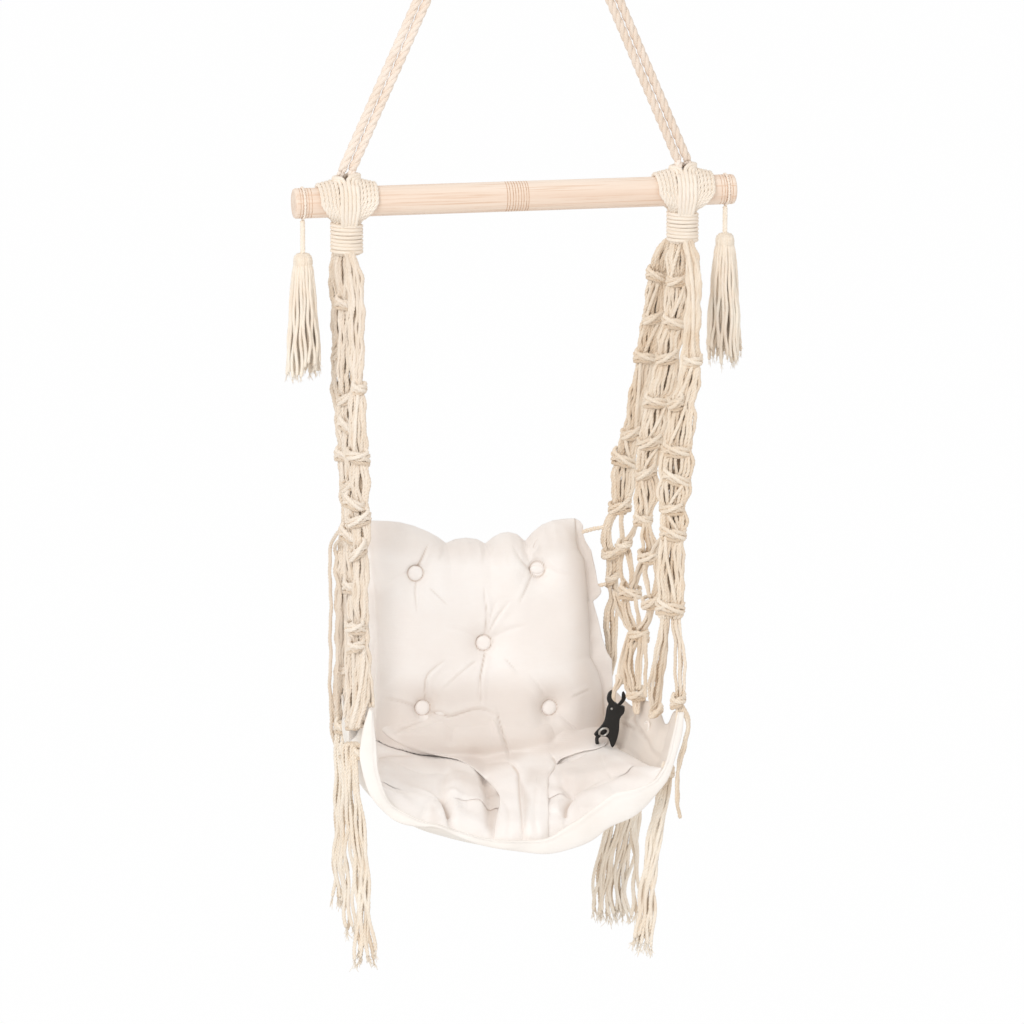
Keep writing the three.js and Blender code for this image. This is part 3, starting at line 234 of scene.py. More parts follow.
class Cords:
    """Tubes of yarn gathered into one mesh. Each keeps its own lay: the way round it and the way along it."""

    def __init__(self):
        self.places, self.lays, self.tones, self.faces, self.count = [], [], [], [], 0

    def add(self, path, radius, sides=8, ends=0.55, tone=1.0):
        path = np.asarray(path, float)[:, :3]
        rings = len(path)
        radii = np.full(rings, float(radius)) if np.isscalar(radius) else np.array(radius, float)
        radii[0] *= ends
        radii[-1] *= ends
        _, across, other = frames_along(path)
        angle = TURN * np.arange(sides) / sides
        c, s = (wave(angle)[None, :, None] for wave in (np.cos, np.sin))
        ring = c * across[:, None] + s * other[:, None]
        self.places.append((path[:, None] + ring * radii[:, None, None]).reshape(-1, 3))
        run = run_along(path)
        lay = np.empty((rings, sides, 3))
        lay[..., 0], lay[..., 1], lay[..., 2] = np.cos(angle), np.sin(angle), run[:, None] * MM
        self.lays.append(lay.reshape(-1, 3))
        # tone is 1 for full colour and lower for darker yarn; the finish reads it as random tone and as painted shade.
        self.tones.append(np.full(rings * sides, tone))
        i, j = np.meshgrid(np.arange(rings - 1), np.arange(sides), indexing="ij")
        a, b = i * sides + j, i * sides + (j + 1) % sides
        quads = np.stack([a, b, b + sides, a + sides], -1).reshape(-1, 4) + self.count
        self.faces += quads.tolist()
        self.faces.append(list(range(self.count + sides - 1, self.count - 1, -1)))
        last = self.count + (rings - 1) * sides
        self.faces.append(list(range(last, last + sides)))
        self.count += rings * sides
        return self

    def twisted(self, path, radius, pitch, strands=3, sides=5, fullness=0.57, start=0.0, tone=1.0):
        """A laid rope: strands that wind round each other."""
        path = np.asarray(path, float)[:, :3]
        _, across, other = frames_along(path)
        run = run_along(path)
        for k in range(strands):
            angle = (TURN * (k / strands + run / pitch) + start)[:, None]
            wind = np.cos(angle) * across + np.sin(angle) * other
            self.add(path + radius * (1 - fullness) * wind, radius * fullness, sides, tone=tone)
        return self

    def mesh(self, name):
        mesh = plain_mesh(name, np.vstack(self.places), self.faces)
        lay = mesh.attributes.new("lay", "FLOAT_VECTOR", "POINT")
        lay.data.foreach_set("vector", np.vstack(self.lays).ravel())
        paint(mesh, "tone", np.hstack(self.tones))
        return mesh


# ---------------------------------------------------------------- finishes


def colour(red, green, blue):
    """The colour that the eye reads as these shares of 255."""
    def light(value):
        value /= 255
        return value / 12.92 if value <= 0.04045 else ((value + 0.055) / 1.055) ** 2.4
    return (light(red), light(green), light(blue), 1)


def feed(tree, node, socket, value):
    """Sets what a node takes in: a value, or what another node gives."""
    if isinstance(value, bpy.types.NodeSocket):
        tree.links.new(value, node.inputs[socket])
    else:
        node.inputs[socket].default_value = value


def maths(tree, operation, a, b):
    made = tree.nodes.new("ShaderNodeMath")
    made.operation = operation
    feed(tree, made, 0, a)
    feed(tree, made, 1, b)
    return made.outputs[0]


class Finish:
    """A material and its nodes."""

    def __init__(self, name, base, roughness, sheen=0.0, specular=0.3):
        self.material = bpy.data.materials.new(name)
        self.material.use_nodes = True
        self.tree = self.material.node_tree
        self.nodes = self.tree.nodes
        self.shader = self.nodes["Principled BSDF"]
        self.set(self.shader, "Base Color", base)
        self.set(self.shader, "Roughness", roughness)
        self.set(self.shader, "Specular IOR Level", specular)
        self.set(self.shader, "Sheen Weight", sheen)
        self.places = self.nodes.new("ShaderNodeTexCoord").outputs["Object"]

    def set(self, node, socket, value):
        feed(self.tree, node, socket, value)

    def painted(self, name):
        """What the mesh says under a name, as its outputs."""
        made = self.nodes.new("ShaderNodeAttribute")
        made.attribute_name = name
        return made.outputs

    def parts(self, vector):
        made = self.nodes.new("ShaderNodeSeparateXYZ")
        self.set(made, 0, vector)
        return [made.outputs[k] for k in range(3)]

    def maths(self, operation, a, b=0.0):
        return maths(self.tree, operation, a, b)

    def noise(self, scale, detail=3.0, places=None, rough=0.5):
        made = self.nodes.new("ShaderNodeTexNoise")
        self.set(made, "Vector", places or self.places)
        self.set(made, "Scale", scale)
        self.set(made, "Detail", detail)
        self.set(made, "Roughness", rough)
        return made.outputs["Fac"]

    def stretched(self, x, y, z):
        made = self.nodes.new("ShaderNodeMapping")
        self.set(made, "Vector", self.places)
        made.inputs["Scale"].default_value = (x, y, z)
        return made.outputs[0]

    def ramp(self, factor, *stops):
        made = self.nodes.new("ShaderNodeValToRGB")
        self.set(made, 0, factor)
        ramp = made.color_ramp
        while len(ramp.elements) < len(stops):
            ramp.elements.new(0.5)
        for element, (place, tone) in zip(ramp.elements, stops):
            element.position = place
            element.color = tone
        return made.outputs["Color"]

    def blend(self, factor, a, b, mode="MIX"):
        made = self.nodes.new("ShaderNodeMix")
        made.data_type = "RGBA"
        made.blend_type = mode
        self.set(made, 0, factor)
        self.set(made, 6, a)
        self.set(made, 7, b)
        return made.outputs[2]

    def bump(self, height, distance, strength=1.0, below=None):
        made = self.nodes.new("ShaderNodeBump")
        self.set(made, "Height", height)
        made.inputs["Distance"].default_value = distance * MM
        made.inputs["Strength"].default_value = strength
        if below:
            self.set(made, "Normal", below)
        self.set(self.shader, "Normal", made.outputs[0])
        return made.outputs[0]


PLIES = 3


def yarn_finish(name, light, shade, twist_pitch, marked, fuzz=1.0):
    """Twisted cotton: grooves that wind along the cord, with painted shade in them, fine fibres and uneven, slightly
    darker yarn. A low tone on the mesh darkens it further, as random tone and as painted shade.
    """
    f = Finish(name, light, 0.92, sheen=0.15, specular=0.12)
    cosine, sine, run = f.parts(f.painted("lay")["Vector"])
    along = f.maths("MULTIPLY", run, TURN / (twist_pitch * MM))
    wind = f.maths("ADD", f.maths("MULTIPLY", f.maths("ARCTAN2", sine, cosine), float(PLIES)), along)
    groove = f.maths("SINE", wind)
    height = f.maths("MULTIPLY_ADD", groove, 0.5)
    fine = f.noise(1.0, 4, f.stretched(900, 900, 260), 0.65)
    patch = f.noise(26, 2)
    fibres = 0.45 * fuzz
    mottle = f.maths("ADD", f.maths("MULTIPLY", patch, 1 - fibres), f.maths("MULTIPLY", fine, fibres))
    tone = f.ramp(mottle, (0.38, shade), (0.6, light))
    # Painted shade in the grooves between the plies, as strong as marked.
    deep = f.ramp(groove, (0.0, tuple(0.86 * c for c in shade[:3]) + (1,)), (0.35, (1, 1, 1, 1)))
    tone = f.blend(marked, tone, f.blend(1.0, tone, deep, "MULTIPLY"))
    # A low tone darkens towards a browner colour: random tone, and painted shade on cords that lie behind or under
    # others.
    tone_and_shade_colour = tuple(c * d for c, d in zip(shade, (0.62, 0.5, 0.36))) + (1,)
    f.set(f.shader, "Base Color", f.blend(f.painted("tone")["Fac"], tone_and_shade_colour, tone))
    f.bump(fine, 0.5 * fuzz, 0.5, below=f.bump(height, 0.8, 2 * marked))
    return f.material


# The colour of the painted shade in the creases and shaded areas of cloth.
PAINTED_SHADE_COLOUR = colour(190, 166, 146)


def cloth_finish(name, light, shade, weave=1100):
    """Woven cotton: a fine square weave, soft creases and a faint unevenness, with the painted shade that the mesh
    carries blended in.
    """
    f = Finish(name, light, 0.9, sheen=0.12, specular=0.15)
    cross = [f.maths("SINE", f.maths("MULTIPLY", out, weave * TURN / 2)) for out in f.parts(f.places)]
    threads = f.maths("MULTIPLY", f.maths("MAXIMUM", cross[0], cross[1]), cross[2])
    patch = f.noise(14, 3)
    slub = f.noise(1.0, 3, f.stretched(60, 60, 420))
    mottle = f.maths("ADD", f.maths("MULTIPLY", patch, 0.85), f.maths("MULTIPLY", slub, 0.15))
    tone = f.ramp(mottle, (0.36, shade), (0.62, light))
    painted_shade = f.maths("MULTIPLY", f.painted("painted_shade")["Fac"], 0.75)
    f.set(f.shader, "Base Color", f.blend(painted_shade, tone, PAINTED_SHADE_COLOUR))
    soft = f.bump(f.noise(38, 4, rough=0.55), 2.2, 0.35)
    f.bump(threads, 0.12, 0.4, below=soft)
    return f.material


def wood_finish():
    f = Finish("pale bamboo", colour(248, 228, 212), 0.5, specular=0.35)
    broad = f.noise(1.0, 3, f.stretched(2.2, 70, 70))
    fine = f.noise(1.0, 5, f.stretched(7, 420, 420), 0.6)
    tone = f.ramp(broad, (0.3, colour(236, 211, 191)), (0.52, colour(244, 225, 208)), (0.7, colour(249, 233, 218)))
    streak = f.ramp(fine, (0.32, colour(224, 194, 168)), (0.47, (1, 1, 1, 1)))
    f.set(f.shader, "Base Color", f.blend(0.55, tone, streak, "MULTIPLY"))
    f.bump(fine, 0.25, 0.35)
    return f.material


def groove_finish():
    f = Finish("burnt groove", colour(222, 190, 162), 0.7)
    f.set(f.shader, "Base Color", f.ramp(f.noise(300), (0.3, colour(205, 168, 138)), (0.7, colour(234, 204, 178))))
    return f.material


def metal_finish(name, base, roughness, metallic, wear):
    f = Finish(name, base, roughness, specular=0.5)
    f.set(f.shader, "Metallic", metallic)
    scuff = f.noise(420, 4, rough=0.7)
    f.set(f.shader, "Base Color", f.ramp(scuff, (0.35, base), (0.72, wear)))
    f.set(f.shader, "Roughness", f.maths("ADD", f.maths("MULTIPLY", f.noise(160), 0.25), roughness - 0.1))
    f.bump(scuff, 0.05, 0.4)
    return f.material


cord_finish = yarn_finish("panel cord", colour(250, 239, 224), colour(240, 223, 202), 18, marked=0.1)
white_cord_finish = yarn_finish("bar cord", colour(251, 241, 229), colour(244, 231, 215), 18, marked=0.1)
rope_finish = yarn_finish("laid rope", colour(251, 240, 230), colour(246, 232, 219), 16, marked=0.1, fuzz=0.2)
# Lighter than the panel cord: painted light that lifts the fringes out of their shade.
lit_fringe_finish = yarn_finish("fringe cord", colour(254, 246, 234), colour(247, 233, 215), 18, marked=0.1)
tassel_finish = yarn_finish("tassel yarn", colour(254, 247, 235), colour(250, 236, 219), 7, marked=0.14)
loop_finish = yarn_finish("cord in the groove", colour(253, 242, 230), colour(249, 233, 218), 7, marked=0.08)
canvas_finish = cloth_finish("canvas", colour(252, 247, 241), colour(247, 240, 232))
hem_finish = cloth_finish("hem canvas", colour(252, 247, 242), colour(248, 241, 234))
cushion_finish = cloth_finish("cushion cotton", colour(253, 249, 246), colour(250, 244, 240), 900)
bar_finish = wood_finish()
mark_finish = groove_finish()
black_finish = metal_finish("black hook", colour(8, 8, 8), 0.42, 0.0, colour(22, 22, 21))
steel_finish = metal_finish("dull steel", colour(176, 174, 170), 0.34, 1.0, colour(206, 204, 200))
strap_finish = cloth_finish("black webbing", colour(38, 37, 36), colour(26, 26, 26), 700)

# ---------------------------------------------------------------- ropes

ROPE_TURNS_FROM = 0.66
# Painted shade on the ropes, as a tone under 1: deeper on the right rope, away from the key lamp.
ROPE_SHADE_TONES = {"left": 0.88, "right": 0.72}


def strand_points(side, strand):
    """Both strands of a rope lie side by side at the bar and turn to lie one before the other at the ring."""
    top = np.array([side * STRAND_OFFSET, 0, WHIPPING_END_Z])
    pivot = np.array([wrap_x(side), 0, PIVOT_Z])
    places = []
    for share in np.linspace(0, 1, 14):
        angle = smooth((share - ROPE_TURNS_FROM) / (1 - ROPE_TURNS_FROM)) * QUARTER
        aside = strand * STRAND_OFFSET * STRAND_SPREAD * math.cos(angle)
        before = -strand * side * STRAND_OFFSET * math.sin(angle)
        places.append(mix(pivot, top, share) + [aside, before, 0])
    return places


def rope_points(side):
    outer, inner = strand_points(side, side), strand_points(side, -side)
    way = math.copysign(1, outer[-1][1])
    x = side * STRAND_OFFSET
    bend = [
        [x, way * BITE_RADIUS * math.cos(a), BITE_Z + BITE_RADIUS * math.sin(a)]
        for a in np.linspace(0, math.pi, 9)
    ]
    neck = [x, outer[-1][1], -WHIPPING_TOP], [x, -outer[-1][1], -WHIPPING_TOP]
    return outer + [neck[0]] + bend + [neck[1]] + inner[::-1]


def make_rope(name, side):
    path = run_through(rope_points(side), 3)
    rope = Cords().twisted(path, ROPE_RADIUS, 40, sides=10, fullness=0.54, start=side, tone=ROPE_SHADE_TONES[name])
    thing = cord_piece(f"{name}_hanging_rope", rope, rope_finish, f"{name}_rope", "suspension")


HITCH_HALF, HITCH_FLAT = 3, 3.4


def make_hitch(name, side):
    """The rope's bight round the bar, pressed flat under the cords."""
    laid = BAR_RADIUS + LAID + HITCH_HALF
    tangent = math.acos(laid / PIVOT_RISE)
    apart = STRAND_OFFSET * STRAND_SPREAD * side
    places = [[wrap_x(side) + apart, 0, PIVOT_Z + 1]]
    for share in np.linspace(0, 1, 18):
        angle = mix(tangent, TURN - tangent, share)
        x = wrap_x(side) + apart * mix(1, -1, share)
        places.append([x, laid * math.sin(angle), BAR_Z + laid * math.cos(angle)])
    places.append([wrap_x(side) - apart, 0, PIVOT_Z + 1])
    path = run_through(places, 3)
    flat = smooth(np.minimum(np.linspace(0, 9, len(path)), np.linspace(9, 0, len(path))))
    half = mix(ROPE_RADIUS, HITCH_FLAT, flat)
    _, across, other = frames_along(path)
    hitch = Cords()
    for k in range(3):
        angle = (TURN * (k / 3 + np.arange(len(path)) * 3 / 34))[:, None]
        wind = np.cos(angle) * across + np.sin(angle) * other
        hitch.add(path + 0.44 * half[:, None] * wind, 0.56 * half, 8)
    cord_piece(f"{name}_bar_hitch", hitch, rope_finish, f"{name}_rope_hitch")


def coil_points(centre, radius_x, radius_y, turns, pitch):
    x, y, z = centre
    return np.array([
        [x + radius_x * math.cos(a), y + radius_y * math.sin(a), z - pitch * a / TURN]
        for a in np.linspace(0, turns * TURN, int(turns * 40) + 1)
    ])


def make_top_whipping():
    around = STRAND_OFFSET * math.sqrt(2) + ROPE_RADIUS + LAID + WHIPPING_CORD
    top = [0, 0, -WHIPPING_TOP - WHIPPING_CORD]
    coil = Cords().add(coil_points(top, around, around, WHIPPING_TURNS, WHIPPING_PITCH), WHIPPING_CORD)
    cord_piece("ring_whipping", coil, white_cord_finish, "top_whipping", "suspension")


# ---------------------------------------------------------------- bar


def turned(name, profile, axis, steps=96):
    """A solid of revolution from its half outline, given as places from one pole to the other."""
    shape = bmesh.new()
    corners = [shape.verts.new(Vector(place) * MM) for place in profile]
    edges = [shape.edges.new(pair) for pair in zip(corners, corners[1:])]
    centre = Vector(profile[0]) * MM
    bmesh.ops.spin(shape, geom=corners + edges, cent=centre, axis=axis, angle=TURN, steps=steps, use_merge=True)
    bmesh.ops.remove_doubles(shape, verts=shape.verts, dist=1e-7)
    bmesh.ops.recalc_face_normals(shape, faces=shape.faces)
    mesh = mesh_from(shape, name)
    mesh.polygons.foreach_set("use_smooth", [True] * len(mesh.polygons))
    return mesh


BAND_GROOVES = [-15.5, -12, -7.8, -4.4, -0.6, 3.2, 6.6, 10.4, 13.4]
BAND_DEPTH, BAND_WIDTH = 0.5, 1.1
END_LINES = [6.4, 17.4, 21.6]
LINE_DEPTH, LINE_WIDTH = 0.35, 0.9
TASSEL_GROOVE_WIDTH, NARROW_GROOVE = 6.2, 3
# Corners of the two ends of the bar: how far in from the end, and how far under the bar's surface.
LEFT_END = [(0, BAR_RADIUS), (0, 6), (0, BAR_CHAMFER), (0.5, 1.2), (BAR_CHAMFER, 0), (BAR_CHAMFER + 0.3, 0)]
RIGHT_END = [(3.8, 0), (3.4, 0), (1.2, 0.8), (0.2, 2.4), (0, 4), (0, BAR_RADIUS)]


def make_bar():
    half = BAR_LENGTH / 2
    ends = [(-half + inset, LINE_DEPTH, LINE_WIDTH) for inset in END_LINES]
    ends = sorted(ends + [(-half + TASSEL_INSET, TASSEL_GROOVE, TASSEL_GROOVE_WIDTH)])
    grooves = ends + [(x, BAND_DEPTH, BAND_WIDTH) for x in BAND_GROOVES]
    grooves += [(-x, depth, width) for x, depth, width in ends[::-1]]
    outline = [(-half + inset, drop) for inset, drop in LEFT_END]
    for x, depth, width in grooves:
        rim, low = width / 2, width / 4
        corners = [(-rim - 0.25, 0), (-rim, 0), (-low, depth), (low, depth), (rim, 0), (rim + 0.25, 0)]
        outline += [(x + along, drop) for along, drop in corners]
    outline += [(half - inset, drop) for inset, drop in RIGHT_END]
    places = [(BAR_SHIFT + x, 0, BAR_Z + BAR_RADIUS - drop) for x, drop in outline]
    mesh = turned("turned_bar", places, (1, 0, 0))
    finish_piece("turned_bar", mesh, bar_finish, "seat", ["wooden_bar"])
    mesh.materials.append(mark_finish)
    burnt = [(x, width / 2) for x, _, width in grooves if width < NARROW_GROOVE]
    for face in mesh.polygons:
        at = face.center.x / MM - BAR_SHIFT
        if any(x - reach < at < x + reach for x, reach in burnt):
            face.material_index = 1


# ---------------------------------------------------------------- cords over the bar

FAN_CORDS, FAN_HALF, FAN_RADIUS = 5, 41, 3.2
GATHER = (0.3, 1.35)
# Under the bar: how far down, and how much narrower and closer together the cords of a fan are there.
FAN_FOOT = [(8.5, 0.34, 0.02), (16.5, 0.62, 0.24), (24.6, 0.93, 0.88), (33, 1, 1), (70, 1, 1)]
MIDDLE_CORDS, MIDDLE_RADIUS = (-10.6, -5.3, 0, 5.3, 10.6), 2.9


def fan_points(side, way, share):
    """A cord over the bar: up from the wrap, over and down again behind."""
    offset = mix(STRAND_OFFSET * (1 + STRAND_SPREAD) + FAN_RADIUS + LAID, FAN_HALF - FAN_RADIUS, share)
    heap = 5 * (1 - share)
    laid = BAR_RADIUS + LAID + FAN_RADIUS
    bend = []
    for angle in np.linspace(-QUARTER, QUARTER, 11):
        x = wrap_x(side) + way * offset * mix(0.94, 0.98, math.cos(angle))
        rise = (laid + heap * math.cos(angle)) * math.cos(angle)
        bend.append([x, (laid + 0.6) * math.sin(angle), BAR_Z + rise])
    gather = mix(*GATHER, share)
    inner = [0.8 * WRAP_X * math.sin(gather), 0.72 * WRAP_Y * math.cos(gather)]

    def foot(front):
        return [
            [wrap_x(side) + way * mix(offset, inner[0], narrow), front * mix(laid, inner[1], close), BAR_Z - drop]
            for drop, narrow, close in FAN_FOOT
        ]

    return foot(-1)[::-1] + bend + foot(1)


def make_fan(name, side):
    fan = Cords()
    for k in range(FAN_CORDS):
        for way in (-1, 1):
            path = run_through(fan_points(side, way, k / (FAN_CORDS - 1)))
            drop = BAR_Z - path[:, 2]
            thick = mix(3.3, 2.4, smooth((drop - 10) / 18)).mean() * 0.2 + 2.6
            fan.twisted(path, thick, 21, sides=6, start=k + way)
    for way in MIDDLE_CORDS:
        x, low = wrap_x(side) + way, wrap_x(side) + 0.72 * way
        near_rope, past_rope = (wrap_x(side) + math.copysign(1, way) * reach for reach in (13, 17))
        crest = 37 - 0.62 * abs(way)
        front = [
            [low, -7, -72], [low, -10, -40], [mix(low, x, 0.3), -18, -27], [x, -25.2, -10], [x, -26, 4], [x, -21, 20],
            [x, -13, crest - 7], [mix(x, near_rope, 0.5), -9.5, crest - 1.5],
        ]
        places = front + [[past_rope, 0, crest - 2]] + [[px, -py, pz] for px, py, pz in front[::-1]]
        fan.add(run_through([[px, py, BAR_Z + pz] for px, py, pz in places]), MIDDLE_RADIUS, 9)
    cord_piece(f"{name}_cords_over_bar", fan, white_cord_finish, f"{name}_bar_cords")


def make_wrap(name, side):
    path = coil_points([wrap_x(side), 0, WRAP_TOP_Z - WRAP_CORD], WRAP_X, WRAP_Y, WRAP_TURNS, WRAP_PITCH)
    path[:, 2] += 0.3 * np.sin(np.linspace(0, 40, len(path)))
    cord_piece(f"{name}_gathering_wrap", Cords().add(path, 2.5), white_cord_finish, f"{name}_wrap")


# ---------------------------------------------------------------- knotted panels

BUNDLE_STEP = 2.4
STRAY_LANES = [(-0.8, 0.5), (0.8, -0.5), (-0.3, 0.85), (0.3, -0.85)]


def bundle(cords, places, count, seed, behind=0.5, wander=1.0, ties=()):
    """Twisted cords in two layers, through places and half widths. Between the ties they belly out and part."""
    dice = random.Random(seed)
    path = run_through(places, BUNDLE_STEP)
    z, half, run = path[:, 2], path[:, 3].copy(), np.arange(len(path)) * BUNDLE_STEP
    bounds = sorted([z.max() + 1, *ties, z.min() - 1], reverse=True)
    opening, middle = np.zeros(len(path)), np.zeros(len(path))
    strays = []
    for upper, lower in zip(bounds, bounds[1:]):
        inside = (z <= upper) & (z > lower)
        share = (upper - z[inside]) / (upper - lower)
        belly = np.sin(math.pi * share)
        opening[inside] = belly * min((upper - lower) / 22, 1)
        middle[inside] = dice.uniform(-0.4, 0.4)
        half[inside] *= 0.86 + 0.2 * belly
        if inside.sum() > 10 and ties and dice.random() < 0.7:
            strays.append((inside, mix(*dice.choice(STRAY_LANES), share)))
    back = int(count * behind)
    lanes = [(lane, 1) for lane in np.linspace(-1, 1, count - back)]
    lanes += [(lane, -1) for lane in np.linspace(-0.8, 0.8, back)] if back > 1 else [(0.1, -1)] * back

    def lay_cord(among, side, depth, tone):
        cord = path[among, :3] + side[among, None] * ACROSS + depth[among, None] * FORWARD
        thick, pitch, start = YARN * dice.uniform(0.9, 1.12), dice.uniform(13, 18), dice.uniform(0, TURN)
        cords.twisted(cord, thick, pitch, start=start, tone=tone)

    everywhere = np.ones(len(path), bool)
    swell = 0.22 * np.maximum(half - 9, 0)
    for lane, layer in lanes:
        wave, swing = dice.uniform(40, 80), dice.uniform(0, TURN)
        drift = wander * (1.15 * np.sin(run / wave * TURN + swing) + 0.6 * np.sin(run / wave * 14 + swing * 3))
        bulge = YARN * 0.95 * math.sqrt(1 - 0.5 * lane * lane) + swell * np.sqrt(1 - 0.9 * lane * lane)
        depth = layer * bulge + wander * 1.3 * np.cos(run / wave * 5 + swing)
        parting = 2.6 * opening * np.tanh((lane - middle) * 6) * (1 - 0.8 * abs(lane)) * (layer > 0)
        # Cords of the front layer vary in tone at random; the rear layer is darker, as painted shade between the front
        # cords.
        tone = dice.uniform(0.7, 1) if layer > 0 else dice.uniform(0.4, 0.7)
        lay_cord(everywhere, lane * (half - YARN) + drift + parting, depth, tone)
    for inside, lane in strays:
        side = np.zeros(len(path))
        side[inside] = lane * (half[inside] - YARN)
        lay_cord(inside, side, YARN * 2.1 + swell, 1)


KNOT_DEPTH, KNOT_YARN = 10.5, YARN * 1.14
KNOT_TURNS = [
    # tone, and places in shares of the knot: across, forward and up. The turns further back have a lower tone: painted
    # shade under the turns over them.
    (0.55, [(-0.5, -0.7, -0.5), (-0.98, 0.1, -0.5), (-0.45, 0.8, -0.42), (0.1, 0.9, -0.52), (0.6, 0.8, -0.4),
            (1.0, 0.1, -0.3), (0.5, -0.7, -0.3)]),
    (0.8, [(-0.5, -0.7, 0.4), (-1.0, 0.1, 0.34), (-0.55, 0.88, 0.0), (0.05, 1.0, -0.2), (0.6, 0.88, 0.02),
           (1.0, 0.1, 0.36), (0.5, -0.7, 0.42)]),
    (0.9, [(-0.5, -0.7, -0.2), (-1.02, 0.0, -0.2), (-0.55, 1.02, 0.16), (0.0, 1.22, 0.34), (0.55, 1.02, 0.2),
           (1.02, 0.0, -0.1), (0.5, -0.7, -0.16)]),
    (1.0, [(-0.6, -0.4, 0.95), (-0.85, 0.5, 0.62), (-0.3, 1.34, 0.3), (0.35, 1.34, -0.1), (0.9, 0.5, -0.4),
           (0.6, -0.6, -0.6)]),
]


def knot(cords, centre, half, tall, slant, flip):
    """A square knot: cords in bowed turns over the rest and over each other, their ends tucked to the rear."""
    wide, lean = flip * half * 0.93, math.tan(slant)
    for tone, turn in KNOT_TURNS:
        places = [
            centre + across * wide * ACROSS + out * KNOT_DEPTH * FORWARD + (tall * up + lean * across * wide) * UP
            for across, out, up in turn
        ]
        cords.twisted(run_through(places, 1.6), KNOT_YARN, 14, tone=tone)


def stations(rows, share):
    """Rows of height and left and right edge in the picture become places on a panel and half widths."""
    return [[*on_panel((left + right) / 2, py, share), (right - left) / 2 * PIXEL] for py, left, right in rows]


def net_stations(rows):
    return [[*on_panel(px, py, share), half] for px, py, half, share in rows]


RIGHT_BUNDLES = [
    # count of cords, and rows of py and the left and right edge in the picture
    ("rear", 13, [(239, 663, 674), (256, 653, 670), (272, 649, 668), (296, 645, 667), (317, 641.5, 665),
                  (335, 638.5, 661), (356, 635.5, 658.5), (385, 631, 652), (410, 626, 645), (428, 622.5, 643),
                  (444, 618, 638.5), (460, 613.5, 637), (480, 611, 636), (502, 611, 632), (514, 612, 628)]),
    ("middle", 14, [(240, 669, 689), (258, 667, 689), (276, 666, 690), (298, 665, 689), (319, 662, 687),
                    (340, 658, 682), (358, 656, 681), (380, 651, 680), (402, 645, 672), (422, 642, 670),
                    (443, 638, 665), (458, 636, 660), (474, 636, 659), (495, 634, 659), (517, 636, 652),
                    (524, 638, 651)]),
    ("front", 14, [(240, 682, 695), (262, 685, 700), (290, 687, 701), (320, 685, 700.5), (345, 681, 700),
                   (362, 679, 702), (385, 677, 699), (404, 669, 697), (425, 667, 695), (449, 662, 693),
                   (470, 658, 694), (490, 658, 690), (506, 660, 687), (520, 660, 687), (533, 660, 686),
                   (552, 658, 684), (575, 658, 684), (594, 658, 684), (606, 656, 685), (618, 659, 682)]),
]
RIGHT_KNOTS = [
    # px, py, half width, tall, slant, how far to the rear
    (657, 275, 14, 12, -0.2, 1), (678, 280, 15, 12, 0.05, 0.55), (674, 322, 16, 13, -0.05, 0.55),
    (654, 317, 15, 12, 0.2, 1), (645, 356, 15, 12, 0.05, 1), (667, 357, 15, 14, 0.1, 0.55),
    (692, 361, 13, 13, 0.25, 0.0), (676, 403, 10, 15, 0.0, 0), (656, 401, 17, 13, 0.05, 0.55),
    (631, 433, 13, 13, 0.1, 1), (623.5, 459, 16, 15, -0.2, 1), (650, 442, 17, 15, 0.1, 0.55),
    (676, 450, 19, 14, 0.0, 0), (646, 472, 14, 12, 0.3, 0.55), (676, 478, 19, 14, -0.25, 0),
    (620, 506, 15, 15, 0.15, 1), (643, 519, 12, 13, 0.1, 0.55), (672, 508, 16, 13, -0.1, 0),
    (673, 533, 17, 15, -0.05, 0), (611, 553, 12, 11, 0.1, 1), (624, 545, 10, 12, 0.6, 0.8),
    (650, 556, 16, 16, -0.05, 0.4), (630, 592, 15, 15, 0.0, 0.75), (651, 602, 12, 15, 0.1, 0.4),
    (670, 607, 19, 16, 0.0, 0), (639, 634, 13, 13, -0.25, 0.55), (613, 577, 9, 10, 0.7, 1),
    (636, 694, 12, 12, -0.1, 0.52), (678, 700, 9, 12, 0.5, 0.01), (656, 711, 8, 8, 0.5, 0.22),
]
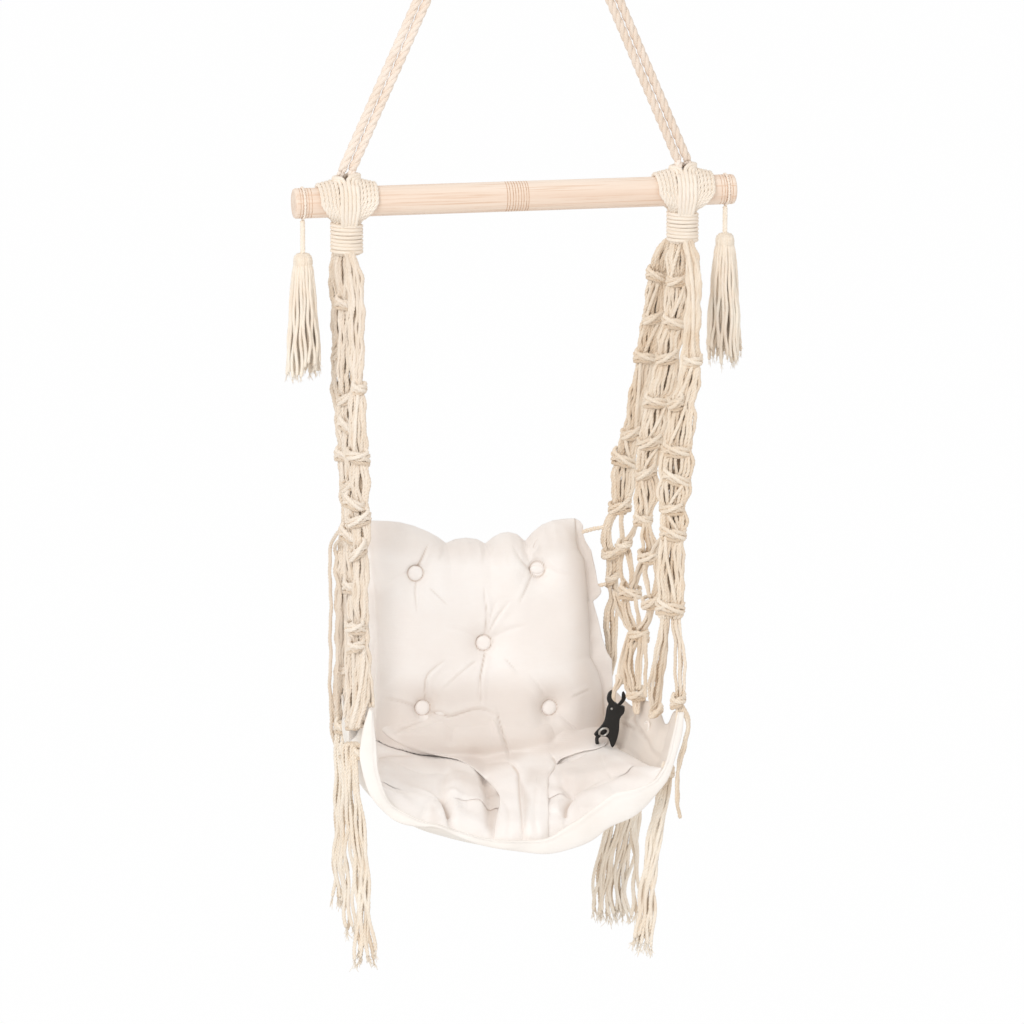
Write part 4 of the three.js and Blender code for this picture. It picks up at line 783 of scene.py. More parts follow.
RIGHT_NET = [
    # lighter bundles of the lower net: cords, then rows of px, py, half width, how far to the rear
    (5, [(616, 508, 7, 1), (609, 522, 7, 1), (606, 540, 8, 1), (610, 552, 8, 1), (613, 564, 8, 1), (612, 580, 8, 1),
         (614, 596, 7, 1), (611, 612, 9, 1), (611, 632, 9.5, 1), (611, 657, 8, 1), (609, 676, 6, 1)]),
    (2, [(622, 510, 3, 0.98), (621, 524, 3, 0.94), (623, 540, 4, 0.86), (628, 552, 4, 0.8), (631, 568, 3, 0.76),
         (631, 585, 5, 0.75)]),
    (2, [(637, 522, 4, 0.6), (632, 533, 4, 0.7), (625, 544, 4, 0.8), (621, 556, 3, 0.85), (621, 572, 3, 0.82),
         (627, 588, 5, 0.77)]),
    (3, [(645, 522, 5, 0.5), (645, 535, 6, 0.48), (647, 548, 7, 0.43), (642, 563, 5, 0.5), (637, 576, 5, 0.62),
         (633, 588, 6, 0.72)]),
    (2, [(649, 522, 3, 0.5), (652, 535, 3, 0.45), (655, 548, 5, 0.38), (656, 562, 4, 0.36), (656, 580, 3, 0.38),
         (653, 598, 4, 0.4)]),
    (2, [(665, 531, 3, 0), (658, 544, 4, 0.25), (651, 556, 5, 0.38), (645, 568, 3, 0.42), (647, 584, 3, 0.42),
         (650, 598, 4, 0.4)]),
    (4, [(626, 594, 6, 0.78), (626, 606, 7, 0.75), (629, 620, 7, 0.68), (634, 632, 8, 0.6), (633, 648, 9, 0.58),
         (631, 668, 9, 0.55), (635, 690, 7, 0.52), (637, 714, 5, 0.5)]),
    (2, [(635, 596, 3, 0.7), (637, 610, 3, 0.66), (640, 625, 4, 0.58), (641, 640, 4, 0.5), (640, 660, 4, 0.5),
         (638, 690, 4, 0.5)]),
    (4, [(651, 606, 6, 0.4), (648, 618, 6, 0.46), (642, 630, 7, 0.53), (634, 642, 6, 0.58), (627, 660, 6, 0.6),
         (628, 690, 6, 0.58)]),
    (3, [(614, 590, 5, 0.98), (619, 606, 5, 0.9), (626, 622, 5, 0.72), (634, 634, 5, 0.6)]),
    (1, [(646, 633, 2.7, 0.45), (646, 665, 2.7, 0.42), (645.5, 697, 2.7, 0.4)]),
    (5, [(665, 612, 8, 0), (664, 625, 7.5, 0.02), (662, 645, 8, 0.06), (658, 668, 9, 0.12), (655, 690, 10, 0.2),
         (654.5, 714, 7, 0.25)]),
    (4, [(676, 612, 7.5, 0), (676, 625, 7, 0), (679, 645, 7, 0), (680, 668, 8, 0), (680, 690, 8, 0.01),
         (679, 702, 6, 0.02)]),
    (2, [(679, 700, 4, 0.01), (685, 712, 4, 0), (688, 726, 3.6, 0), (685, 742, 3.2, 0), (680, 760, 3, 0),
         (677, 780, 3, 0), (677.5, 800, 3, 0), (680, 818, 3, 0)]),
    (2, [(677, 703, 4, 0.01), (679, 715, 4, 0), (677, 728, 3.6, 0), (673, 742, 3.2, 0)]),
]

LEFT_BUNDLES = [
    # as on the right
    ("rear", 10, [(252, 332, 343), (275, 328, 344), (298, 331, 345), (340, 331, 346), (385, 331, 347),
                  (408, 334, 348), (449, 337, 352), (481, 338, 354), (520, 341, 356), (560, 336, 355),
                  (600, 335, 354), (650, 334, 353), (700, 332, 351), (735, 332, 349)]),
    ("middle", 11, [(252, 337, 350), (275, 335, 355), (298, 338, 355), (340, 338, 357), (385, 338, 359),
                    (408, 341, 360), (449, 343, 362), (481, 345, 363), (520, 346, 365), (560, 347, 364),
                    (600, 347, 363), (650, 346, 363), (700, 344, 361), (728, 342, 359)]),
    ("front", 11, [(252, 344, 356), (275, 345, 363), (298, 348, 364), (340, 348, 364), (385, 350, 364),
                   (408, 348, 366), (430, 350, 366), (455, 350, 369), (481, 351, 369), (520, 352, 370),
                   (560, 353, 369), (600, 353, 368), (640, 354, 370), (672, 355, 371), (700, 353, 368),
                   (728, 347, 361)]),
]
LEFT_KNOTS = [
    (345, 303, 13, 12, 0.0, 0.55), (341, 349, 11, 17, 0.5, 1), (359, 388, 9, 12, 0.2, 0),
    (347, 397, 13, 13, 0.3, 0.55), (347, 426, 11, 13, -0.5, 0.55), (358, 456, 15, 14, -0.3, 0),
    (344, 454, 12, 12, 0.1, 1), (352, 482, 14, 12, 0.5, 0.55), (354, 503, 13, 13, -0.3, 0),
    (359, 519, 15, 13, 0.2, 0), (350, 536, 14, 14, -0.4, 0.55), (358, 551, 11, 13, 0.6, 0),
    (350, 586, 9, 14, 0.1, 0.55), (355, 627, 13, 13, -0.2, 0), (356, 645, 11, 12, 0.4, 0),
    (348, 668, 12, 12, 0.1, 1), (355, 722, 12, 13, 0.2, 0.12),
]
LEFT_NET = [
    (1, [(341.5, 527, 2.7, 0.9), (335, 537, 2.7, 0.95), (331, 544, 2.7, 1), (329.5, 560, 2.7, 1),
         (331, 585, 2.7, 1), (331, 634, 2.7, 1), (330.5, 691, 2.7, 1), (331.5, 725, 2.7, 1), (335, 745, 2.7, 1)]),
    (1, [(339, 540, 2.7, 0.9), (334, 548, 2.7, 1), (337, 560, 2.7, 1), (335, 571, 2.7, 1), (340, 590, 2.7, 0.95),
         (338, 640, 2.7, 0.95), (337, 700, 2.7, 0.95), (338, 735, 2.7, 0.95)]),
    (3, [(362, 655, 5, 0), (366, 672, 6, 0), (369, 690, 6, 0), (372, 707, 6, 0)]),
]
PANELS = {"right": (RIGHT_BUNDLES, RIGHT_KNOTS, RIGHT_NET), "left": (LEFT_BUNDLES, LEFT_KNOTS, LEFT_NET)}
# The left panel takes the lighter bar cord finish: painted light on the side the key lamp lights; the right keeps the
# panel cord.
PANEL_FINISHES_BY_LIGHT = {"left": white_cord_finish, "right": cord_finish}
BUNDLE_FULLNESS = 1.35


def make_panel(name):
    bundles, knots, net = PANELS[name]
    for column, count, rows in bundles:
        cords = Cords()
        ties = [on_panel(px, py, share)[2] for px, py, *_, share in knots if nearest_column(share) == column]
        bundle(cords, stations(rows, COLUMNS[column]), int(count * BUNDLE_FULLNESS), name + column, ties=ties)
        for index, (px, py, half, tall, slant, share) in enumerate(knots):
            if nearest_column(share) == column:
                knot(cords, on_panel(px, py, share), half, tall, slant, 1 - 2 * (index % 2))
        for index, (strands, places) in enumerate(net):
            if nearest_column(places[0][3]) == column:
                bundle(cords, net_stations(places), strands, index, behind=0.35, wander=0.6)
        cord_piece(f"{name}_{column}_knotted_cords", cords, PANEL_FINISHES_BY_LIGHT[name], f"{name}_{column}_sinnet")


def nearest_column(share):
    return min(COLUMNS, key=lambda name: abs(COLUMNS[name] - share))


# ---------------------------------------------------------------- frayed ends and tassels


def frayed(cords, place, way, length, seed, radius, count, flare):
    """The open end of a cord: its yarns stand apart."""
    dice = random.Random(seed)
    way = unit(way)
    for _ in range(count):
        lean = np.array([dice.gauss(0, flare) for _ in range(3)])
        reach = length * dice.uniform(0.55, 1)
        side = np.array([dice.uniform(-1, 1), dice.uniform(-1, 1), 0])
        bend = np.array([dice.gauss(0, 0.12) for _ in range(3)])
        middle = place + side * 1.6 + (way + lean * 0.4) * reach * 0.5
        end = place + side * 1.9 + (way + lean + bend) * reach
        cords.add(run_through([place + side * 1.2, middle, end], 3), radius, 4, ends=0.4)


TASSEL_CORD = 1.9
TASSEL_HEADS, TASSEL_FEET = {"left": 67, "right": 60}, {"left": 227, "right": 232}
# Rings of yarn in a tassel: how wide, how many, and their tone. The lower tone of the inner rings is painted shade.
TASSEL_RINGS = [(1.0, 22, 1), (0.72, 14, 0.85), (0.4, 8, 0.85)]


def make_tassel(name, side):
    x = BAR_SHIFT + side * (BAR_LENGTH / 2 - TASSEL_INSET)
    dice = random.Random(name)
    body = f"{name}_tassel"
    around = BAR_RADIUS - TASSEL_GROOVE + LAID + TASSEL_CORD
    circle = [[x, around * math.sin(a), BAR_Z - around * math.cos(a)] for a in np.linspace(0, TURN, 49)]
    loop = Cords().twisted(circle, TASSEL_CORD, 9, strands=2, sides=7, fullness=0.56)
    cord_piece(f"{name}_cord_round_bar", loop, loop_finish, f"{name}_tassel_loop")

    top, head, foot = BAR_Z - around - TASSEL_CORD, BAR_Z - TASSEL_HEADS[name], BAR_Z - TASSEL_FEET[name]
    stem_path = run_through([[x, 0, top], [x, 0, mix(top, head, 0.5)], [x, 0, head - 4]], 2)
    stem = Cords().twisted(stem_path, 3.6, 13, sides=7, fullness=0.53)
    cord_piece(f"{name}_tassel_stem", stem, tassel_finish, f"{name}_tassel_cord", body)

    skirt = Cords()
    for ring, count, tone in TASSEL_RINGS:
        for k in range(count):
            a = TURN * (k + dice.uniform(-0.3, 0.3)) / count
            out = np.array([math.cos(a), math.sin(a), 0])
            low = foot + dice.uniform(-4, 22)
            wave = dice.uniform(-2.2, 2.2)
            reach = [
                (-0.5, 1.5), (-2.5, 8.2), (-8, 10.4), (-15, 10.2), (-25, 11.5 * ring + 1), (-60, 15.5 * ring + wave),
                (-110, 18.8 * ring - wave), (low - head, 21.5 * ring + wave),
            ]
            path = run_through([np.array([x, 0, head + drop]) + out * r for drop, r in reach], 3)
            along, twist = np.linspace(0, 1, len(path)), dice.uniform(0, TURN)
            sway = 1.9 * along * np.sin(along * dice.uniform(12, 19) + twist)
            path = path + sway[:, None] * np.array([-out[1], out[0], 0])
            skirt.twisted(path, 2.75, 11, start=twist, tone=tone)
            frayed(skirt, path[-1], path[-1] - path[-4], 9, f"{name}{ring}{k}", 0.3, 4, 0.22)
    cord_piece(f"{name}_tassel_yarns", skirt, tassel_finish, f"{name}_tassel_skirt", body)
    band = Cords().add(coil_points([x, 0, head - 9.5], 9.4, 9.4, 2.4, 2.5), 1.1, 7)
    cord_piece(f"{name}_tassel_band", band, tassel_finish, f"{name}_tassel_binding", body)


for side_name, side_way in SIDES.items():
    make_rope(side_name, side_way)
make_top_whipping()
make_bar()
make_panel("right")
make_panel("left")
for side_name, side_way in SIDES.items():
    make_hitch(side_name, side_way)
    make_fan(side_name, side_way)
    make_wrap(side_name, side_way)
    make_tassel(side_name, side_way)

# ---------------------------------------------------------------- sling

SLING_SHARES = [0, 0.16, 0.36, 0.52, 0.66, 0.82, 1]
SLING_ROWS = {
    "half": [218, 218, 202, 186, 183, 173, 160],
    "edge_y": [-188, -123.6, -8.8, 72, 112, 128, 128],
    "middle_y": [-208, -123.6, -8.8, 72, 120, 138, 138],
    "edge_z": [-1281, -1311, -1326, -1294, -1294, -1248, -1116],
    "middle_z": [-1458, -1458, -1448, -1432, -1380, -1248, -1116],
}
SLING_HALF_THICKNESS = 1.5
SLING_SIDES = (0.015, 0.985)
SEAT_ACROSS, SEAT_ALONG = (0.13, 0.87), (0.045, 0.5)


def look_up(shares, values, share):
    """Between the listed values, level at each of them."""
    shares, values = np.asarray(shares, float), np.asarray(values, float)
    share = np.clip(share, shares[0], shares[-1])
    k = np.clip(np.searchsorted(shares, share, side="right") - 1, 0, len(shares) - 2)
    return mix(values[k], values[k + 1], smooth((share - shares[k]) / (shares[k + 1] - shares[k])))


EDGE_RISES = [(0, 18), (0.07, 16), (0.13, 6), (0.19, 4), (0.235, 26), (0.28, 29), (0.36, 14), (0.5, 0), (1, 0)]


def sling(across, along):
    """The canvas as it hangs: its side edges are drawn up where the cords hold them, the left front corner inward."""
    across, along = np.broadcast_arrays(np.asarray(across, float), np.asarray(along, float))
    by_side = smooth((np.abs(across - 0.5) - 0.37) / 0.125)
    drawn = look_up(*np.array(EDGE_RISES, float).T, along) * by_side
    left_corner = (1 - smooth(along / 0.2)) * by_side * (across < 0.5)
    place = hanging(across, along)
    place[..., 2] += drawn + 15 * left_corner
    place[..., 0] += 20 * left_corner
    return place


def hanging(across, along):
    row = {name: look_up(SLING_SHARES, values, along) for name, values in SLING_ROWS.items()}
    angle = (across - 0.5) * math.pi
    sag = np.maximum(np.cos(angle), 0) ** 0.84
    return np.stack([
        SEAT_SHIFT + row["half"] * np.sin(angle),
        mix(row["edge_y"], row["middle_y"], sag),
        mix(row["edge_z"], row["middle_z"], sag),
    ], -1)


def above(across, along, height):
    """A place over the sling, on the sitter's side of it."""
    step = 0.01
    a, b = np.clip(across, 2 * step, 1 - 2 * step), np.clip(along, step, 1 - step)
    normal = np.cross(sling(a + step, b) - sling(a - step, b), sling(a, b + step) - sling(a, b - step))
    normal /= np.linalg.norm(normal, axis=-1, keepdims=True)
    return sling(across, along) + normal * np.asarray(height, float)[..., None]


def two_faced(name, top, under, painted_shade=None):
    """A closed piece from an upper and a lower skin on one grid, joined along the edge."""
    rows, columns = top.shape[:2]
    upper = np.arange(rows * columns).reshape(rows, columns)
    lower = upper.copy()
    inner = (rows - 2) * (columns - 2)
    lower[1:-1, 1:-1] = rows * columns + np.arange(inner).reshape(rows - 2, columns - 2)

    def quads(grid):
        return np.stack([grid[:-1, :-1], grid[1:, :-1], grid[1:, 1:], grid[:-1, 1:]], -1).reshape(-1, 4)

    faces = np.vstack([quads(upper), quads(lower)[:, ::-1]])
    places = np.vstack([top.reshape(-1, 3), under[1:-1, 1:-1].reshape(-1, 3)])
    mesh = plain_mesh(name, places, faces.tolist())
    outward(mesh)
    # The upper skin carries the painted shade values; the lower gets none.
    if painted_shade is not None:
        paint(mesh, "painted_shade", np.r_[painted_shade.ravel(), np.zeros(inner)])
    return mesh


def pixels(places):
    """Where the picture shows each place."""
    turned = (np.asarray(places, float) - EYE) @ EYE_TURN
    right, up, near = np.moveaxis(turned, -1, 0)
    return np.stack([CENTRE - FOCAL * right / near, CENTRE + FOCAL * up / near], -1)


def near_line(at, line):
    """How far each place of the picture is from a line, on which side of it, and how far along."""
    gap_to, side_of, along = np.full(at.shape[:-1], 1e9), np.ones(at.shape[:-1]), np.zeros(at.shape[:-1])
    total, run = np.linalg.norm(np.diff(line, axis=0), axis=1).sum(), 0.0
    for a, b in zip(line, line[1:]):
        way = b - a
        size = np.linalg.norm(way)
        share = np.clip(((at - a) @ way) / size**2, 0, 1)
        gap = at - a - share[..., None] * way
        far = np.linalg.norm(gap, axis=-1)
        closer = far < gap_to
        gap_to = np.where(closer, far, gap_to)
        side_of = np.where(closer, np.sign(way[0] * gap[..., 1] - way[1] * gap[..., 0]), side_of)
        along = np.where(closer, (run + share * size) / total, along)
        run += size
    return gap_to, side_of, along


def creased(at, lines):
    """The height and painted shade of folds along lines of the picture: line, depth, width, side that puffs, painted
    shade.
    """
    height, shade = np.zeros(at.shape[:-1]), np.zeros(at.shape[:-1])
    for line, depth, width, lean, tone in lines:
        gap, side, along = near_line(at, run_through(line, 4))
        strength = smooth((along + 0.06) / 0.14) * (1 - along**4)
        height -= depth * strength * np.exp(-((gap / width) ** 2))
        height += 0.7 * depth * strength * np.exp(-(((gap * side * lean - 2.6 * width) / (2.2 * width)) ** 2))
        shade = np.maximum(shade, tone * strength * np.exp(-((gap / (0.55 * width)) ** 2)))
    return height, shade


def shaded(at, patches):
    """Soft-edged patches of painted shade: corners in the picture, how soft, how deep."""
    shade = np.zeros(at.shape[:-1])
    for corners, soft, tone in patches:
        ring = np.array([*corners, corners[0]], float)
        within = np.zeros(at.shape[:-1], bool)
        for a, b in zip(ring, ring[1:]):
            if a[1] != b[1]:
                crossed = (a[1] > at[..., 1]) != (b[1] > at[..., 1])
                edge_x = (b[0] - a[0]) * (at[..., 1] - a[1]) / (b[1] - a[1]) + a[0]
                within ^= crossed & (at[..., 0] < edge_x)
        gap = near_line(at, ring)[0] * np.where(within, 1, -1)
        shade = np.maximum(shade, tone * smooth(0.5 + 0.5 * gap / soft))
    return shade


def uneven(places, size, seed):
    """A slow unevenness from -1 to 1."""
    x, y, z = np.moveaxis(places / size + seed * 7.3, -1, 0)
    wave = np.sin(x + 1.7 * np.sin(0.8 * z + y)) * np.sin(z + 1.3 * np.sin(0.7 * x + seed))
    return 0.7 * wave + 0.3 * np.sin(2.3 * y + 1.9 * x + 1.1 * np.sin(2.1 * z))


def edge_rounding(a, b, wide, deep):
    """From 0 at the edge of a skin to 1, as a quarter circle: how full a pad is there."""
    inside = np.clip(np.minimum(np.minimum(a, 1 - a) / wide, np.minimum(b, 1 - b) / deep), 0, 1)
    return np.sqrt(1 - (1 - inside) ** 2)


def spread_grid(rows, columns):
    return np.meshgrid(np.linspace(0, 1, rows), np.linspace(0, 1, columns), indexing="ij")


HEM_OUTER = [(369, 709), (364, 725), (361, 741), (360, 760), (369, 793), (386, 814), (402, 824), (421, 827),
             (434, 827), (456, 836), (480, 845), (508, 850), (544, 854), (567, 850), (591, 841), (610, 827),
             (631, 818), (644, 808), (658, 792), (669, 777), (676, 755), (682, 734), (684, 712)]
HEM_INNER = [(373, 711), (374, 726), (376, 741), (377, 757), (379, 774), (390, 802), (410, 815), (427, 822),
             (437, 823.5), (450, 828), (466, 833), (480, 837), (492, 839), (508, 840), (544, 839), (569, 825),
             (583, 816), (607, 798), (618, 792), (636, 788), (652, 782), (658, 776), (666, 762), (672, 738),
             (678, 712)]


def hem_line(shares):
    """Middle of the front edge's roll and the way across it, from its two outlines in the picture."""
    base = hanging(shares, 0)
    run = run_along(pixels(base))
    lines = []
    for outline in (HEM_OUTER, HEM_INNER):
        line = run_through(outline, 2)
        length = run_along(line)
        at = np.stack([np.interp(run / run[-1], length / length[-1], line[:, k]) for k in (0, 1)], -1)
        lines.append(np.array([seen_at(px, py, y) for (px, py), y in zip(at, base[:, 1] - 4)]))
    return (lines[0] + lines[1]) / 2, (lines[1] - lines[0]) / 2


SLING_CREASES = [
    ([(632, 698), (634, 712), (640, 727), (644, 733)], 5.0, 2.0, 1, 1.0),
    ([(612, 720), (631, 727), (641, 732), (648, 742), (651, 750), (666, 764)], 4.0, 2.4, -1, 0.6),
    ([(651, 716), (654, 730), (653, 744)], 3.0, 3.0, 1, 0.25),
    ([(668, 712), (667, 728), (661, 744)], 3.0, 3.0, -1, 0.2),
    ([(612, 742), (630, 752), (646, 766)], 3.0, 2.6, 1, 0.35),
]


def make_sling():
    across, along = spread_grid(181, 121)
    across = mix(*SLING_SIDES, across)
    place = sling(across, along)
    at_side = np.exp(-(((np.abs(across - 0.5) - 0.47) / 0.05) ** 2))
    wave = 1.4 * uneven(place, 26, 3) + 1.2 * at_side * np.sin(along * 60 + 2 * across)
    to_hem = (hem_line(across[:, 0])[0] - place[:, 0])[:, None] * (np.clip(1 - along / 0.1, 0, 1) ** 2)[..., None]
    height, shade = creased(pixels(place), SLING_CREASES)
    wall = smooth((across - 0.8) / 0.08)
    to_side = np.minimum(across - SLING_SIDES[0], SLING_SIDES[1] - across)
    rim = np.clip(np.minimum(to_side, np.minimum(along, 1 - along)) / 0.02, 0, 1)
    lift, half = wave * 0.5 + height * wall * rim, SLING_HALF_THICKNESS - 0.3
    top, under = (above(across, along, lift + out) + to_hem for out in (half, -half))
    # Painted shade on the right side wall: at least 0.36 everywhere on it, more along its creases.
    mesh = two_faced("hanging_canvas", top, under, np.maximum(shade, 0.36) * wall)
    cloth = finish_piece("hanging_canvas", mesh, canvas_finish, "seat", ["canvas_sling"])
    middle = sling(*spread_grid(60, 60))
    length = np.linalg.norm(np.diff(sling(0.5, np.linspace(0, 1, 60)), axis=0), axis=1).sum() * MM


def make_hem():
    """The sling's front edge, turned over twice and sewn: a soft flat roll of changing width with a stitched ridge."""
    shares = np.linspace(*SLING_SIDES, 260)
    centres, ways = hem_line(shares)
    count, steps, rings = len(centres), 32, []
    for k, (centre, way) in enumerate(zip(centres, ways)):
        wide = max(float(np.linalg.norm(way)), 3.5)
        into = unit(way)
        tangent = centres[min(k + 1, count - 1)] - centres[max(k - 1, 0)]
        face = np.cross(into, tangent)
        face *= np.sign(face @ FORWARD) / np.linalg.norm(face)
        end = math.sqrt(min(min(k, count - 1 - k) / 8, 1)) * 0.7 + 0.3
        deep = end * (4.6 + 0.9 * math.sin(shares[k] * 43) + 0.7 * math.sin(shares[k] * 91 + 1))
        for j in range(steps):
            a = TURN * j / steps
            c, s = math.cos(a), math.sin(a)
            dent = 1.3 * math.exp(-(((c - 0.55) / 0.1) ** 2)) * (s > 0)
            aside = wide * math.copysign(abs(c) ** 0.8, c)
            rise = deep * math.copysign(abs(s) ** 0.8, s) - dent
            rings.append(centre + into * aside + face * rise)
    rings = np.array(rings)
    rings += 0.8 * uneven(rings, 18, 8)[:, None] * FORWARD
    faces = []
    for i in range(0, (count - 1) * steps, steps):
        for j in range(steps):
            after = (j + 1) % steps
            faces.append([i + j, i + after, i + steps + after, i + steps + j])
    faces += [list(range(steps)), list(range((count - 1) * steps, count * steps))]
    mesh = plain_mesh("front_edge_roll", rings, faces)
    outward(mesh)
    finish_piece("front_edge_roll", mesh, hem_finish, "seat", ["front_hem"])


# ---------------------------------------------------------------- seat cushion

SEAT_TUFTS = [(0.22, 0.3), (0.22, 0.72), (0.78, 0.3), (0.78, 0.72)]
SEAT_CREASES = [
    ([(450, 815), (445, 804), (439, 793)], 9, 3.4, 1, 0.8),
    ([(460, 834), (451, 822), (447, 811), (441, 800)], 7.5, 4.0, -1, 0.4),
    ([(564, 815), (566, 804), (573, 794)], 8.5, 3.2, -1, 0.8),
    ([(441, 796), (444, 782), (450, 766)], 6, 5.0, 1, 0.1),
    ([(440, 795), (424, 786), (398, 779)], 6, 5.0, -1, 0.08),
    ([(570, 796), (590, 783), (606, 776)], 6, 4.4, 1, 0.15),
    ([(571, 795), (563, 782), (560, 770)], 5, 4.4, 1, 0.1),
    ([(379, 757), (396, 755), (417, 757)], 4, 2.6, 1, 0.4),
    ([(483, 774), (488, 796), (491, 830)], 9, 5.0, 1, 0.2),
    ([(425, 828), (424, 813), (431, 802)], 5, 4.0, 1, 0.1),
    ([(608, 776), (622, 772), (640, 774)], 4, 4.0, -1, 0.08),
]
SEAT_SHADES = [
    ([(476, 770), (488, 783), (502, 794), (498, 814), (492, 842), (487, 826), (484, 798)], 4, 0.55),
    ([(450, 766), (478, 774), (486, 800), (474, 796), (460, 784)], 7, 0.25),
    ([(556, 764), (600, 752), (640, 768), (656, 780), (622, 776), (600, 784), (578, 802), (560, 790)], 7, 0.25),
    ([(376, 752), (420, 758), (452, 764), (440, 772), (400, 768), (378, 766)], 5, 0.2),
    ([(432, 806), (442, 818), (436, 826), (428, 824)], 4, 0.3),
    ([(570, 800), (590, 790), (596, 806), (576, 816)], 6, 0.12),
]


def seat_height(a, b):
    front, rear = np.minimum(b, 0.5), np.maximum(b - 0.5, 0) / 0.5
    crown = np.sin(math.pi * a) ** 0.42 * np.sin(math.pi * front) ** 0.42 * np.sqrt(np.maximum(1 - rear**8, 0))
    tufts = sum(np.exp(-((a - x) ** 2 + (b - y) ** 2) / 0.09**2) for x, y in SEAT_TUFTS)
    channel = np.exp(-(((a - 0.5) / 0.07) ** 2)) * crown
    lift = SEAT_RIM + (SEAT_CROWN - SEAT_RIM) * crown - SEAT_TUFT * np.minimum(tufts, 1) * crown
    return np.maximum(lift - SEAT_TUFT * channel / 2, SEAT_RIM)


def seat_place(a, b, height):
    return above(mix(*SEAT_ACROSS, a), mix(*SEAT_ALONG, b), SLING_HALF_THICKNESS + SEAT_CLEAR + height)


def seat_skin(rows, columns):
    a, b = spread_grid(rows, columns)
    a, b = 0.5 - 0.5 * np.cos(math.pi * a), 0.5 - 0.5 * np.cos(math.pi * b)
    a = mix(a, np.linspace(0, 1, rows)[:, None], 0.6)
    b = mix(b, np.linspace(0, 1, columns)[None], 0.6)
    full = edge_rounding(a, b, 0.05, 0.06)
    top = seat_place(a, b, seat_height(a, b))
    height, shade = creased(pixels(top), SEAT_CREASES)
    scallop = 3.0 * np.sin(a * 26 + 1.5 * np.sin(b * 6)) * np.exp(-b / 0.16)
    soft = 2.4 * uneven(top, 21, 1) + scallop
    rim = SEAT_RIM / 2
    top = seat_place(a, b, rim + (seat_height(a, b) - rim + soft + height) * full)
    under = seat_place(a, b, rim * (1 - full))
    return top, under, np.maximum(shade, shaded(pixels(top), SEAT_SHADES)) * full


def make_seat_cushion():
    top, under, shade = seat_skin(220, 170)
    mesh = two_faced("tufted_seat_cushion", top, under, shade)
    finish_piece("tufted_seat_cushion", mesh, cushion_finish, "seat", ["seat_cushion"])
    return top


# ---------------------------------------------------------------- back cushion

LEVEL = np.array([1.0, 0, 0])
BACK_RISE = np.array([0, math.sin(BACK_LEAN), math.cos(BACK_LEAN)])
BACK_FORWARD = np.array([0, -math.cos(BACK_LEAN), math.sin(BACK_LEAN)])
BACK_BUTTONS = [(484, 643), (416, 573.5), (538, 569.5), (423, 708), (550, 708)]
BACK_TOP_LINE = [(330, 519), (352, 518), (370, 520.5), (385, 520.8), (399, 522), (413, 525.5), (428, 531.5),
                 (438, 537), (446, 543), (455, 539), (466, 537.6), (477, 539), (485, 543.5), (493, 537),
                 (501, 532.8), (508, 531.8), (517, 534), (525, 541), (532, 532.5), (542, 524.5), (553, 520.2),
                 (565, 518.6), (574.5, 518.2), (580, 521), (585, 528)]
BACK_RIGHT_LINE = [(583, 524), (591, 538), (595.6, 560), (597.8, 574), (600.2, 577.5), (601.4, 581.5), (600, 585),
                   (597, 588.5), (592.8, 592), (598, 611), (602.6, 632), (607, 646), (614.5, 658), (619, 668),
                   (617, 688), (611, 706), (604, 735)]
BACK_SEAM = [(575, 540), (577, 548), (583, 559), (585.2, 578), (587.6, 613), (588.8, 656), (597, 671), (600.8, 685),
             (602.5, 712)]
BACK_CREASES = [
    ([(417, 567), (422, 558), (426, 549), (430, 541)], 3.4, 1.5, 1, 0.85),
    ([(416, 581), (415, 592), (416, 603), (417, 614)], 1.8, 1.3, -1, 0.4),
    ([(430, 588), (438, 596), (449, 606)], 1.5, 1.2, 1, 0.35),
    ([(532, 575), (526, 589), (519, 604)], 1.8, 1.2, 1, 0.5),
    ([(531, 571), (521, 560), (512, 543)], 2.0, 1.6, -1, 0.35),
    ([(533, 549), (536, 542), (540, 537)], 2.4, 1.3, 1, 0.55),
    ([(529, 568), (534, 572), (537, 573)], 2.2, 1.4, 1, 0.3),
    ([(484, 634), (487, 616), (485, 600), (484, 585)], 2.2, 1.2, 1, 0.55),
    ([(488, 632), (498, 616), (510, 600)], 2.2, 1.4, 1, 0.35),
    ([(486, 632), (492, 612), (497, 600)], 1.8, 1.4, 1, 0.2),
    ([(485, 652), (482, 668), (480, 682), (481, 701), (484, 711)], 2.6, 1.3, -1, 0.85),
    ([(425, 700), (425, 688), (428, 674), (446, 659)], 2.6, 1.4, 1, 0.6),
    ([(476, 661), (462, 672), (441, 692)], 1.2, 1.1, 1, 0.3),
    ([(506, 659), (512, 666), (518, 672)], 1.2, 1.1, 1, 0.3),
    ([(416, 707), (400, 702), (378, 698)], 1.9, 1.3, 1, 0.45),
    ([(430, 712), (440, 715), (449, 716)], 2.0, 1.4, 1, 0.6),
    ([(558, 713), (568, 722), (580, 732)], 2.0, 1.6, 1, 0.25),
    ([(428, 713), (438, 713), (449, 717), (462, 713.5), (475, 710), (486, 711), (499, 717)], 3.0, 1.5, -1, 0.7),
    ([(498, 715), (502, 730), (506, 745)], 2.6, 1.5, 1, 0.7),
    ([(589, 690), (580, 694), (570, 699)], 1.4, 1.1, 1, 0.5),
    ([(446, 543), (444, 552), (440, 562)], 2.6, 2.4, 1, 0.12),
    ([(485, 543), (485, 553), (484, 565)], 2.6, 2.4, -1, 0.12),
    ([(525, 540), (526, 550), (530, 560)], 2.8, 2.2, -1, 0.15),
    ([(407, 572), (396, 577), (386, 586)], 1.4, 2.0, -1, 0.05),
    ([(478, 638), (462, 630), (444, 626)], 1.4, 2.2, -1, 0.05),
    ([(491, 638), (508, 630), (530, 624)], 1.4, 2.2, -1, 0.05),
    ([(545, 566), (558, 572), (574, 576)], 1.3, 1.8, -1, 0.1),
    ([(548, 700), (540, 686), (528, 672)], 1.5, 2.2, -1, 0.05),
]
